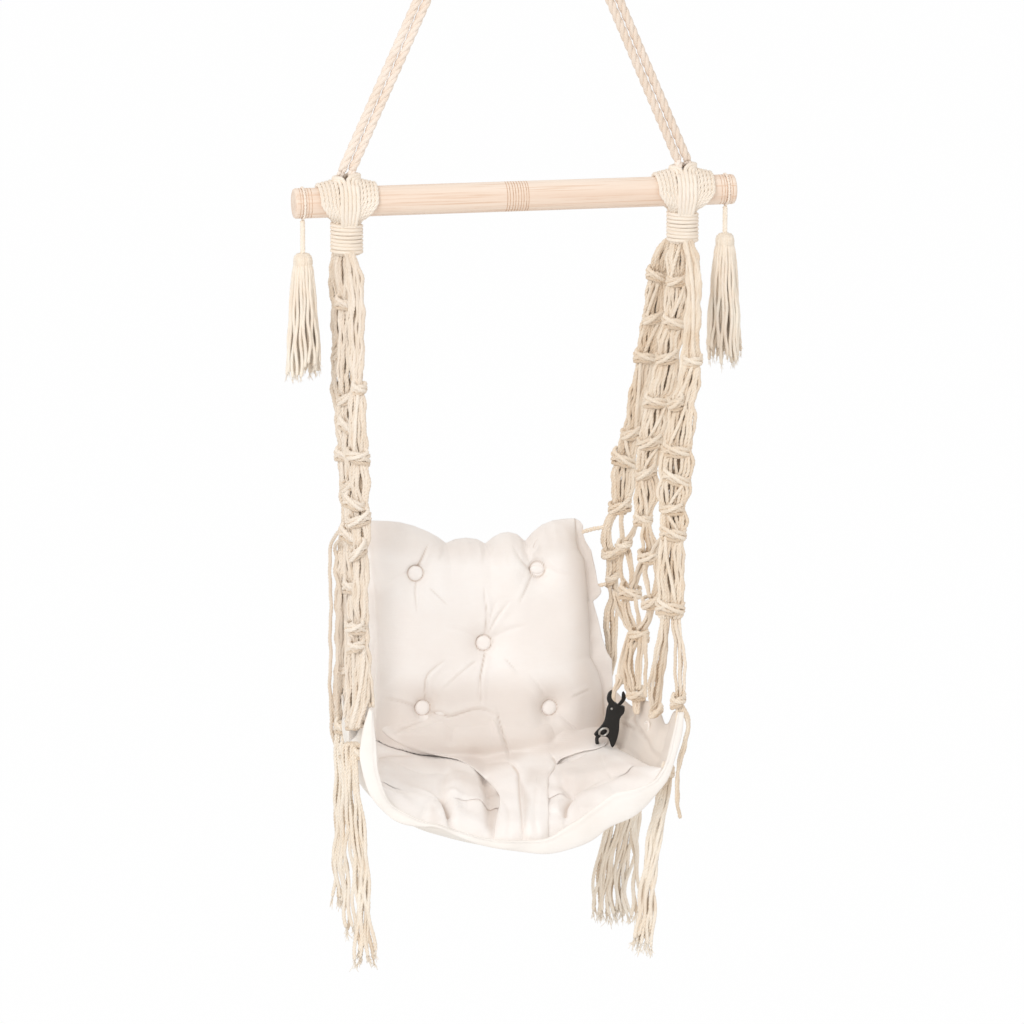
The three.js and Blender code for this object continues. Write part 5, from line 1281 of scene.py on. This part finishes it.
BACK_SHADES = [
    ([(556, 520), (600, 530), (606, 640), (624, 668), (610, 740), (568, 740), (578, 640), (574, 570)], 14, 0.4),
    ([(360, 515), (440, 535), (500, 535), (590, 515), (590, 552), (500, 560), (440, 558), (372, 548)], 10, 0.22),
    ([(365, 590), (388, 590), (392, 690), (368, 710)], 12, 0.2),
    ([(380, 685), (600, 680), (600, 750), (380, 750)], 14, 0.3),
]


def on_back(px, py, out=0.0):
    """How far across and up on the back cushion the picture shows px, py."""
    ray = seen_at(px, py, 0) - EYE
    reach = ((BACK_CENTRE + out * BACK_FORWARD - EYE) @ BACK_FORWARD) / (ray @ BACK_FORWARD)
    place = EYE + reach * ray - BACK_CENTRE
    return place[0], place @ BACK_RISE


def back_outline(s, t):
    """Across and up for s and t from -1 to 1, with the lobed top edge and the right edge that the picture shows."""
    top = np.array([on_back(*p) for p in BACK_TOP_LINE])
    right = np.array([on_back(*p) for p in BACK_RIGHT_LINE])[::-1]
    half = BACK_WIDTH / 2
    left_x = -half * (1 - 0.06 * np.cos(t * QUARTER))
    right_x = np.interp(t * BACK_HEIGHT / 2, right[:, 1], right[:, 0])
    x = np.where(s < 0, -s * left_x, s * np.minimum(right_x, half + 30))
    rise = np.interp(x, top[:, 0], top[:, 1])
    foot = -BACK_HEIGHT / 2 * (1 - 0.06 * np.cos(s * QUARTER))
    return x, mix(foot, rise, (t + 1) / 2)


def back_skin(steps):
    shares = mix(np.sin((np.linspace(0, 1, steps) - 0.5) * math.pi), np.linspace(-1, 1, steps), 0.55)
    s, t = np.meshgrid(shares, shares, indexing="ij")
    x, rise = back_outline(s, t)
    line = np.array([on_back(*p) for p in BACK_SEAM])[::-1]
    edge_x = np.maximum(x / np.maximum(s, 1e-6), 1)
    seam_at = np.where(s > 0, np.interp(rise, line[:, 1], line[:, 0]) / edge_x, 0.93)
    seam_at = np.clip(seam_at, 0.8, 0.96)
    body = np.clip(np.abs(s) / seam_at, 0, 1)
    crown = np.sqrt((1 - body**4) * (1 - np.abs(t) ** 4))
    buttons = np.array([on_back(px, py, 22) for px, py in BACK_BUTTONS])
    dips = sum(np.exp(-((x - bx) ** 2 + (rise - bz) ** 2) / 21**2) for bx, bz in buttons)
    swell = BACK_RIM / 2 + (BACK_CROWN - BACK_RIM / 2) * crown
    swell -= BACK_TUFT * np.minimum(dips, 1) * crown
    to_button = np.min([np.hypot(x - bx, rise - bz) for bx, bz in buttons], axis=0)
    under_button = np.minimum(swell, 4 + 14 * crown)
    swell = mix(under_button, swell, smooth((to_button - BUTTON_RADIUS) / 6))

    def placed(out):
        return BACK_CENTRE + x[..., None] * LEVEL + rise[..., None] * BACK_RISE + out[..., None] * BACK_FORWARD

    front = placed(swell)
    height, shade = creased(pixels(front), BACK_CREASES)
    at_edge = np.exp(-(((np.abs(t) - 1) / 0.12) ** 2))
    pucker = 1.1 * np.sin(s * 46 + 2 * np.sin(s * 9)) * at_edge
    soft = 1.5 * uneven(front, 30, 2)
    flange = smooth((np.abs(s) - seam_at) / 0.02)
    wave = 1.6 * np.sin(t * 21 + 1.2 * np.sin(t * 8)) * flange
    tight = np.sqrt(np.clip(1 - np.maximum(np.abs(s), np.abs(t)) ** 24, 0, 1))
    out = (mix(swell + (soft + height + pucker) * np.minimum(crown * 1.6, 1), 1.6 + wave, flange)) * tight
    rear = (mix(-0.5 * swell, -1.6 + wave, flange)) * tight
    # Painted shade: a dark line in the crevice along the seam, rings where the pad meets each button, and the shaded
    # areas.
    seam_and_patch_shade = 0.8 * np.exp(-(((np.abs(s) - seam_at) / 0.007) ** 2)) * (s > 0)
    seam_and_patch_shade = np.maximum(seam_and_patch_shade, 0.9 * np.exp(-(((to_button - BUTTON_RADIUS - 0.6) / 1.1) ** 2)))
    seam_and_patch_shade = np.maximum(seam_and_patch_shade, shaded(pixels(front), BACK_SHADES))
    return placed(out), placed(rear), np.maximum(shade, seam_and_patch_shade), buttons, (x, rise, out)


def clear_of_seat(places, seat, gap=1.2):
    """Lifts places that would lie in the seat cushion to its top."""
    rough = seat[::4, ::4].reshape(-1, 3)
    low = places[..., 2] < rough[:, 2].max() + 4
    picked = places[low]
    lift = np.zeros(len(picked))
    for start in range(0, len(picked), 4000):
        part = picked[start:start + 4000]
        far = ((part[:, None, :2] - rough[None, :, :2]) ** 2).sum(-1)
        near = far.argmin(1)
        over = far[np.arange(len(part)), near] < 12**2
        lift[start:start + 4000] = np.where(over, np.maximum(rough[near, 2] + gap - part[:, 2], 0), 0)
    places[low] += lift[:, None] * UP
    return places


def make_back_cushion(seat):
    front, rear, shade, buttons, (x, rise, out) = back_skin(200)
    front, rear = clear_of_seat(front, seat), clear_of_seat(rear, seat)
    edges = (slice(None), (0, -1)), ((0, -1), slice(None))
    for rows, columns in edges:
        rear[rows, columns] = front[rows, columns]
    mesh = two_faced("tufted_back_cushion", front, rear, shade)
    finish_piece("tufted_back_cushion", mesh, cushion_finish, "seat", ["back_cushion"])
    for number, ((bx, bz), squash) in enumerate(zip(buttons, BUTTON_SQUASH), 1):
        near = np.unravel_index(((x - bx) ** 2 + (rise - bz) ** 2).argmin(), x.shape)
        make_button(number, bx, bz, out[near], squash)
    return front


BUTTON_SQUASH = [1, 1, 0.62, 1, 1]
BUTTON_OUTLINE = [
    (0, 4.4), (3, 4.2), (6, 3.7), (8.2, 2.8), (9.5, 1.6), (BUTTON_RADIUS, 0.5), (9.8, -0.4), (8.4, -1), (5, -1.2),
    (0, -1.2),
]


def make_button(number, x, rise, out, squash):
    """A covered button: a low dome with a turned-in edge, drawn into the pad."""
    mesh = turned(f"covered_button_{number}", [(r, 0, z) for r, z in BUTTON_OUTLINE], (0, 0, 1), 48)
    centre = BACK_CENTRE + x * LEVEL + rise * BACK_RISE + (out - BUTTON_SINK) * BACK_FORWARD
    moved_onto(mesh, centre, LEVEL, squash * BACK_RISE, BACK_FORWARD)
    finish_piece(mesh.name, mesh, cushion_finish, "seat", [f"back_button_{number}"])


# ---------------------------------------------------------------- flap between the legs

FLAP = [
    # rows of the left edge, the right edge and how proud it stands
    ((382, 694), (604, 690), -3), ((378, 704), (606, 705), 0), ((375, 714), (608, 722), 2),
    ((378, 726), (609, 735), 4), ((390, 738), (607, 744), 6), ((410, 748), (596, 749), 9),
    ((434, 755), (585, 751), 9), ((458, 760), (572, 755), 9), ((474, 769), (560, 760), 9),
    ((486, 780), (555, 768), 9), ((495, 789), (549, 777), 9), ((500, 799), (548, 786), 9),
    ((497.5, 814), (548.5, 802), 8), ((495, 828), (549, 820), 7), ((494, 840), (549, 840), 4),
    ((494.5, 848), (548.5, 849), -2),
]
FLAP_CREASES = [
    ([(400, 732), (430, 722), (455, 714), (475, 710.5), (486, 711), (498, 715)], 4.0, 1.8, -1, 0.5),
    ([(430, 712), (440, 716), (449, 718)], 3.0, 1.5, -1, 0.4),
    ([(497, 715), (502, 732), (507, 748), (511, 763)], 4.5, 1.8, 1, 0.8),
    ([(511, 763), (500, 762), (484, 765)], 3.0, 1.6, 1, 0.4),
    ([(511, 764), (518, 774), (519, 790), (521, 812), (524, 842)], 6.5, 2.2, -1, 0.6),
    ([(552, 757), (556, 764), (552, 772), (546, 778)], 4.0, 1.8, 1, 0.5),
    ([(500, 798), (508, 812), (507, 842)], 2.6, 3.0, 1, 0.1),
    ([(536, 786), (534, 812), (538, 842)], 2.6, 3.0, 1, 0.1),
    ([(449, 718), (452, 734), (448, 750)], 2.6, 4.0, 1, 0.05),
    ([(560, 720), (556, 735), (549, 752)], 3.0, 4.0, 1, 0.08),
    ([(600, 708), (588, 722), (572, 735)], 2.6, 3.0, 1, 0.08),
]
FLAP_FRAME = (355, 675), (630, 860)  # the part of the picture round it
FLAP_SUNK = 9  # how far its sewn end lies under the cushions' skins
FLAP_SHADES = [
    ([(372, 700), (430, 722), (475, 710), (606, 705), (610, 742), (560, 756), (528, 752), (512, 764), (480, 774),
      (440, 757), (400, 744)], 6, 0.34),
    ([(500, 722), (600, 716), (560, 735), (520, 735), (508, 745)], 18, 0.4),
    ([(517, 778), (523, 784), (530, 800), (525, 826), (521, 800)], 4, 0.4),
    ([(530, 768), (552, 772), (540, 784), (524, 784)], 5, 0.25),
]


def relief(skins):
    """How near the camera the skins come at each place of the picture, smoothed."""
    low, high = np.array(FLAP_FRAME)
    shape = (high - low) // 2
    near = np.full(shape, np.inf)
    for skin in skins:
        places = skin.reshape(-1, 3)
        cells = ((pixels(places) - low) / 2).astype(int)
        inside = ((cells >= 0) & (cells < shape)).all(-1)
        depth = (EYE - places) @ EYE_TURN[:, 2]
        np.minimum.at(near, tuple(cells[inside].T), depth[inside])
    value = np.where(np.isfinite(near), near, 0)
    weight = np.isfinite(near).astype(float)

    def spread(grid):
        rows, columns = grid.shape
        grid = np.pad(grid, 1, mode="edge")
        return sum(grid[i:i + rows, j:j + columns] for i in range(3) for j in range(3))

    while weight.min() == 0:
        known = spread(weight)
        filled = spread(value * weight) / np.maximum(known, 1e-9)
        value = np.where(weight > 0, value, filled)
        weight = np.maximum(weight, (known > 0).astype(float))
    for _ in range(4):
        value = spread(value) / 9
    return lambda at: sample(value, (at - low) / 2 - 0.5)


def sample(grid, at):
    at = np.clip(at, 0, np.array(grid.shape) - 1.001)
    i, j = at[..., 0].astype(int), at[..., 1].astype(int)
    u, v = at[..., 0] - i, at[..., 1] - j
    return mix(mix(grid[i, j], grid[i + 1, j], u), mix(grid[i, j + 1], grid[i + 1, j + 1], u), v)


def make_flap(seat, back):
    near = relief([seat, back])
    u, v = spread_grid(150, 170)
    rows = run_through([[*left, *right, proud] for left, right, proud in FLAP], 1.0)
    share = np.linspace(0, 1, len(rows))
    left_x, left_y, right_x, right_y, proud = (np.interp(v, share, column) for column in rows.T)
    px, py = mix(left_x, right_x, u), mix(left_y, right_y, u)
    at = np.stack([px, py], -1)
    full = edge_rounding(u, v, 0.05, 0.03)
    height, shade = creased(at, FLAP_CREASES)
    ways = np.stack([(px - CENTRE) / FOCAL, (CENTRE - py) / FOCAL, -np.ones(u.shape)], -1) @ EYE_TURN.T
    depth = near(at)
    sunk = FLAP_SUNK * (1 - smooth(v / 0.2))
    lift = proud * np.sin(math.pi * mix(0.1, 0.9, u)) ** 0.5 - sunk

    def placed(toward):
        return EYE + ways * (depth - toward)[..., None]

    pleats = 6 * np.abs(np.sin(TURN * np.clip(u - 0.02, 0, 1))) * smooth((v - 0.55) / 0.15)
    soft = 1.0 * uneven(placed(lift), 24, 5) + pleats
    edge = 0.8 - sunk
    top, under = placed((lift - edge + soft + height) * full + edge), placed(edge - 2.0 * full)
    mesh = two_faced("pleated_centre_flap", top, under, np.maximum(shade, shaded(at, FLAP_SHADES)) * full)
    finish_piece("pleated_centre_flap", mesh, cushion_finish, "seat", ["centre_flap"])


# ---------------------------------------------------------------- fringes

FRINGES = {"right": {
    # cords, and rows of px, py, half width; y at the top and at the foot
    "front": (10, [(668, 765, 8), (664, 785, 10), (660, 808, 10), (655, 835, 10), (651, 862, 9), (648, 890, 11),
                   (645, 918, 13), (642, 946, 15)], (-164, -176)),
    "middle": (3, [(640, 770, 5), (638, 800, 5), (635, 830, 5), (636, 860, 4), (636, 890, 5),
                   (634, 922, 6)], (-50, -38)),
    "rear": (18, [(625, 790, 15), (625, 815, 23), (621, 835, 25), (616, 855, 26), (612, 875, 26), (610, 893, 27),
                  (610, 916, 29)], (62, 70)),
}, "left": {
    "front": (9, [(350, 745, 10), (351, 775, 11), (354, 815, 12), (361, 855, 10), (363, 890, 11), (364, 925, 13),
                  (364, 962, 15)], (-164, -176)),
    "middle": (4, [(345, 745, 7), (346, 790, 8), (346, 840, 8), (349, 890, 8), (351, 935, 9)], (-50, -38)),
    "rear": (6, [(341, 720, 8), (340, 760, 8), (340, 815, 8), (338, 860, 9), (339, 905, 9)], (62, 70)),
}}


def make_fringe(name, group, count, rows, depths):
    dice = random.Random(f"{name}{group}")
    low, high = rows[0][1], rows[-1][1]
    places = [[*seen_at(px, py, mix(*depths, (py - low) / (high - low))), half] for px, py, half in rows]
    side = SIDES[name]
    a, b = np.meshgrid(0.5 + side * np.linspace(0.3, 0.46, 30), np.linspace(0.02, 0.8, 60), indexing="ij")
    skin = sling(a, b).reshape(-1, 3)
    held = skin[np.linalg.norm((skin - places[0][:3]) * [1, 1, 0.8], axis=1).argmin()]
    if np.linalg.norm(held - places[0][:3]) > 8:
        places.insert(0, [*(held + [side * 4, 0, -2]), 7])
    path = run_through(places, 3)
    cords = Cords()
    back = count // 3
    lanes = [(lane, 1) for lane in np.linspace(-1, 1, count - back)]
    lanes += [(lane, -1) for lane in np.linspace(-0.7, 0.7, back)]
    run = np.linspace(0, 1, len(path))
    length = run * len(path) * 3
    for index, (lane, layer) in enumerate(lanes):
        swing, rate = dice.uniform(0, TURN), dice.uniform(3, 6)
        drift = 2.4 * np.sqrt(run) * (np.sin(length / (8 + rate) + swing) + 0.9 * np.sin(run * rate * 2 + swing * 2))
        depth = layer * YARN * 0.9 + 2.2 * np.sin(length / (11 + rate) + swing)
        last = len(path) - dice.randint(0, 5)
        aside = lane * (path[:, 3] - YARN) + drift
        strand = (path[:, :3] + aside[:, None] * ACROSS + depth[:, None] * FORWARD)[:last]
        # Front strands vary in tone at random; the rear ones are darker, as painted shade behind the front strands.
        tone = dice.uniform(0.92, 1) if layer > 0 else dice.uniform(0.55, 0.8)
        cords.twisted(strand, YARN * dice.uniform(0.95, 1.2), 15, fullness=0.56, start=swing, tone=tone)
        frayed(cords, strand[-1], strand[-1] - strand[-3], 15, f"{name}{group}{index}", 0.42, 9, 0.2)
    knot(cords, path[1, :3] - 6 * UP, path[1, 3] * 0.95, 13, 0.1, 1)
    cord_piece(f"{name}_{group}_hanging_fringe", cords, lit_fringe_finish, f"{name}_{group}_fringe")


# ---------------------------------------------------------------- hook, ties, eyelets

HOOK_BODY = [(611.8, 690.6), (608.6, 693), (607, 697), (606.8, 700.5), (608.6, 704.5), (606.7, 709), (605, 719),
             (602, 725.5), (594, 735), (600.6, 737), (607.8, 738), (611.8, 747.8), (616, 742.7), (619, 731.4),
             (620, 719), (624, 713.5), (624.6, 707), (619.6, 706), (616.5, 703.8), (613.4, 701), (611.6, 697)]
HOOK_GATE = [(617.5, 704.5), (621.4, 699.4), (621.6, 695), (623, 691.2), (625.6, 695), (626, 698.6), (623.8, 702.4),
             (620, 706)]
HOOK_FACE_Y = -22
RIVET_OUTLINE = [(0, 1.3), (0.9, 1.1), (1.6, 0.5), (1.8, 0), (1.8, -1.5), (0, -1.5)]
STRAP_ROWS = [(600, 735, -26), (597, 738, -20), (597.5, 744, -8), (600, 752, 2)]
# The cord loop, down to the hook and back up: px, how far its strands part there, py, y.
LOOP_DOWN = [(621.5, 1, 666, 6), (620, 1.1, 680, -6), (616.8, 0.8, 686.5, -12), (613.8, 0.35, 692, -17),
             (613.4, 0.35, 699, -19), (613.2, 0.35, 703, -16)]
LOOP_UP = [(612.6, 0.4, 702, -14), (613.4, 0.4, 697, -21), (614.2, 0.4, 691.5, -20.5), (617.6, 1.1, 685.5, -15),
           (620.5, 1, 678, -9)]
LOOP_CORD = 2.1


SHARP_EDGE = 1.2  # radians


def cut_plate(name, outline, y, thickness, edge):
    """A flat part with an outline of the picture, its edges rounded."""
    corners = run_through([*outline, outline[0]], 2.2)[:-1]
    shape = bmesh.new()
    face = shape.faces.new([shape.verts.new(Vector(seen_at(px, py, y)) * MM) for px, py in corners])
    made = bmesh.ops.extrude_face_region(shape, geom=[face])
    moved = [v for v in made["geom"] if isinstance(v, bmesh.types.BMVert)]
    bmesh.ops.translate(shape, verts=moved, vec=Vector(FORWARD) * -thickness * MM)
    bmesh.ops.recalc_face_normals(shape, faces=shape.faces)
    rim = [
        e for e in shape.edges
        if e.calc_face_angle(0) > SHARP_EDGE and {len(f.verts) > 4 for f in e.link_faces} == {True, False}
    ]
    bmesh.ops.bevel(shape, geom=rim, offset=edge * MM, offset_type="OFFSET", segments=3, profile=0.5,
                    affect="EDGES", material=-1, clamp_overlap=True)
    mesh = mesh_from(shape, name)
    outward(mesh)
    return mesh


def seen_run(rows):
    return run_through([seen_at(px, py, y) for px, py, y in rows], 2)


def make_hook():
    body = cut_plate("snap_hook_body", HOOK_BODY, HOOK_FACE_Y, 8, 1.4)
    finish_piece("snap_hook_body", body, black_finish, "seat", ["right_snap_hook"])
    gate = cut_plate("snap_hook_gate", HOOK_GATE, HOOK_FACE_Y + 2.2, 4, 0.9)
    finish_piece("snap_hook_gate", gate, black_finish, "right_gate", ["right_hook_gate"])
    rivet = turned("snap_hook_rivet", [(r, 0, z) for r, z in RIVET_OUTLINE], (0, 0, 1), 24)
    moved_onto(rivet, seen_at(611.6, 708.8, HOOK_FACE_Y), ACROSS, UP, FORWARD)
    finish_piece("snap_hook_rivet", rivet, steel_finish, "seat", ["right_hook_rivet"])
    circle = [
        seen_at(603.6 + 4.4 * math.cos(a), 732 - 3.6 * math.sin(a) - 1.2 * math.cos(a), -26 - 2.5 * math.sin(a))
        for a in np.linspace(0, TURN, 33)
    ]
    ring = Cords().add(circle, 1.5, 10, ends=1)
    cord_piece("snap_hook_ring", ring, steel_finish, "right_hook_ring")
    strap = Cords().add(seen_run(STRAP_ROWS), 2.6, 10)
    cord_piece("snap_hook_strap", strap, strap_finish, "right_hook_tab")


def make_hook_loop():
    """The cord loop that the hook is clipped to: three strands down to it, two back up, and a whipping."""
    def strand(rows, shift):
        return seen_run([(px + shift * apart, py, y) for px, apart, py, y in rows])

    loop = Cords()
    for shift in (-2.2, 0, 2.2):
        high = on_panel(630 + shift, 634, 0.6)[1]
        rows = [(631, 1, 632, high), (626, 1, 648, mix(high, 8, 0.4)), *LOOP_DOWN]
        loop.add(strand(rows, shift), LOOP_CORD, tone=0.9)
    for shift in (-1.5, 1.5):
        loop.add(strand(LOOP_UP, shift), LOOP_CORD, tone=0.8)
    whipping = [
        seen_at(620.6 + 4.4 * math.cos(a), 675 + 1.9 * a / TURN - 1.2 * math.sin(a), -4 - 6 * math.sin(a))
        for a in np.linspace(0, 4.6 * TURN, 120)
    ]
    loop.add(whipping, 1.5, 7)
    cord_piece("whipped_hook_loop", loop, cord_finish, "right_hook_loop")


TIE_SAGS = {"upper": 1.2, "lower": 2.4}


def make_tie(name, side, level):
    low, high = (np.array(corner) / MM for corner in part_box(f"{name}_{level}_tie"))
    y, z = (low[1:] + high[1:]) / 2
    inner, outer = (low[0], high[0]) if side > 0 else (high[0], low[0])
    places = [
        [inner - side * 9, y, z - 5], [mix(inner, outer, 0.35), y, z - TIE_SAGS[level]],
        [mix(inner, outer, 0.7), y, z - 0.4], [outer + side * 2, y, z + 1.4],
    ]
    tie = Cords().twisted(run_through(places, 2), 3.3, 11, strands=2, sides=7, fullness=0.56)
    cord_piece(f"{name}_{level}_tie_cord", tie, cord_finish, f"{name}_{level}_tie")


def make_eyelet(name, side):
    """A sewn eye in the canvas."""
    across, along = np.array(0.94 if side > 0 else 0.06), np.array(0.26)
    centre = above(across, along, 2.6)
    normal = unit(above(across, along, 4.0) - centre)
    first = unit(np.cross(normal, [0, 1, 0]))
    other = np.cross(normal, first)
    eye = Cords()
    for radius, thread, lift in ((7, 1.5, 0), (5.2, 0.9, -0.6)):
        circle = [
            centre + normal * lift + radius * (math.cos(a) * first + math.sin(a) * other)
            for a in np.linspace(0, TURN, 49)
        ]
        eye.add(circle, thread, 9, ends=1)
    cord_piece(f"{name}_sewn_eye", eye, hem_finish, f"{name}_eyelet")


def dress_ring():
    """The hanging ring keeps its own shape and gets worn steel."""
    ring = bpy.data.objects["hanging_ring"]
    for slot in ring.material_slots:
        slot.material = steel_finish


make_sling()
make_hem()
seat_top = make_seat_cushion()
back_front = make_back_cushion(seat_top)
make_flap(seat_top, back_front)
for side_name, groups in FRINGES.items():
    for group_name, row in groups.items():
        make_fringe(side_name, group_name, *row)
make_hook()
make_hook_loop()
for side_name, side_way in SIDES.items():
    make_eyelet(side_name, side_way)
    for level_name in TIE_SAGS:
        make_tie(side_name, side_way, level_name)
dress_ring()

# ---------------------------------------------------------------- light and floor


# Each lamp's place, size and power, in metres and watts. All look at the middle of the chair.
LAMPS = {"key": ((-3.2, -4.2, 1.6), 2.4, 104), "fill": ((3.6, -3.4, 0.2), 3.0, 14)}
LIT_PLACE = Vector((0, 0, -1.0))
SKY_COLOUR, SKY_STRENGTH, WHITE = (1, 0.985, 0.965, 1), 0.8, (1, 1, 1, 1)
FLOOR_HALF, FLOOR_PLACE, FLOOR_COLOUR, FLOOR_WHITENESS = 14, (0, 4, -1.95), (0.86, 0.86, 0.86, 1), 0.985


def add_lamp(name, place, size, power):
    data = bpy.data.lights.new(name, "AREA")
    data.shape, data.size, data.energy = "DISK", size, power
    lamp = bpy.data.objects.new(name, data)
    lamp.location = place
    lamp.rotation_euler = (LIT_PLACE - lamp.location).to_track_quat("-Z", "Y").to_euler()
    bpy.context.scene.collection.objects.link(lamp)


def show_both(tree, share, first, second, output):
    """Leads two shaders to an output: the second one's share, and the first for the rest."""
    blend = tree.nodes.new("ShaderNodeMixShader")
    for place, value in enumerate((share, first.outputs[0], second.outputs[0])):
        tree.links.new(value, blend.inputs[place])
    tree.links.new(blend.outputs[0], tree.nodes[output].inputs["Surface"])


def light_scene():
    """Soft daylight from the left, and a white ground that only the camera and polished things see."""
    for name, lamp in LAMPS.items():
        add_lamp(name, *lamp)
    world = bpy.data.worlds.new("studio")
    bpy.context.scene.world = world
    world.use_nodes = True
    tree = world.node_tree
    sky = tree.nodes["Background"]
    sky.inputs["Color"].default_value = SKY_COLOUR
    sky.inputs["Strength"].default_value = SKY_STRENGTH
    ground = tree.nodes.new("ShaderNodeBackground")
    ground.inputs["Color"].default_value = WHITE
    rays = tree.nodes.new("ShaderNodeLightPath").outputs
    polished = maths(tree, "MAXIMUM", rays["Is Glossy Ray"], rays["Is Transmission Ray"])
    show_both(tree, maths(tree, "MAXIMUM", rays["Is Camera Ray"], polished), sky, ground, "World Output")


def make_floor():
    """A matt floor for the shadow and the light from below, which the camera sees almost white."""
    shape = bmesh.new()
    bmesh.ops.create_grid(shape, x_segments=2, y_segments=2, size=FLOOR_HALF)
    bmesh.ops.translate(shape, verts=shape.verts, vec=FLOOR_PLACE)
    floor = bpy.data.objects.new("floor", mesh_from(shape, "floor"))
    bpy.context.scene.collection.objects.link(floor)
    material = bpy.data.materials.new("pale floor")
    material.use_nodes = True
    tree = material.node_tree
    matt = tree.nodes["Principled BSDF"]
    matt.inputs["Base Color"].default_value = FLOOR_COLOUR
    matt.inputs["Roughness"].default_value = 0.95
    white = tree.nodes.new("ShaderNodeEmission")
    seen = tree.nodes.new("ShaderNodeLightPath").outputs["Is Camera Ray"]
    show_both(tree, maths(tree, "MULTIPLY", seen, FLOOR_WHITENESS), matt, white, "Material Output")
    floor.data.materials.append(material)


light_scene()
make_floor()
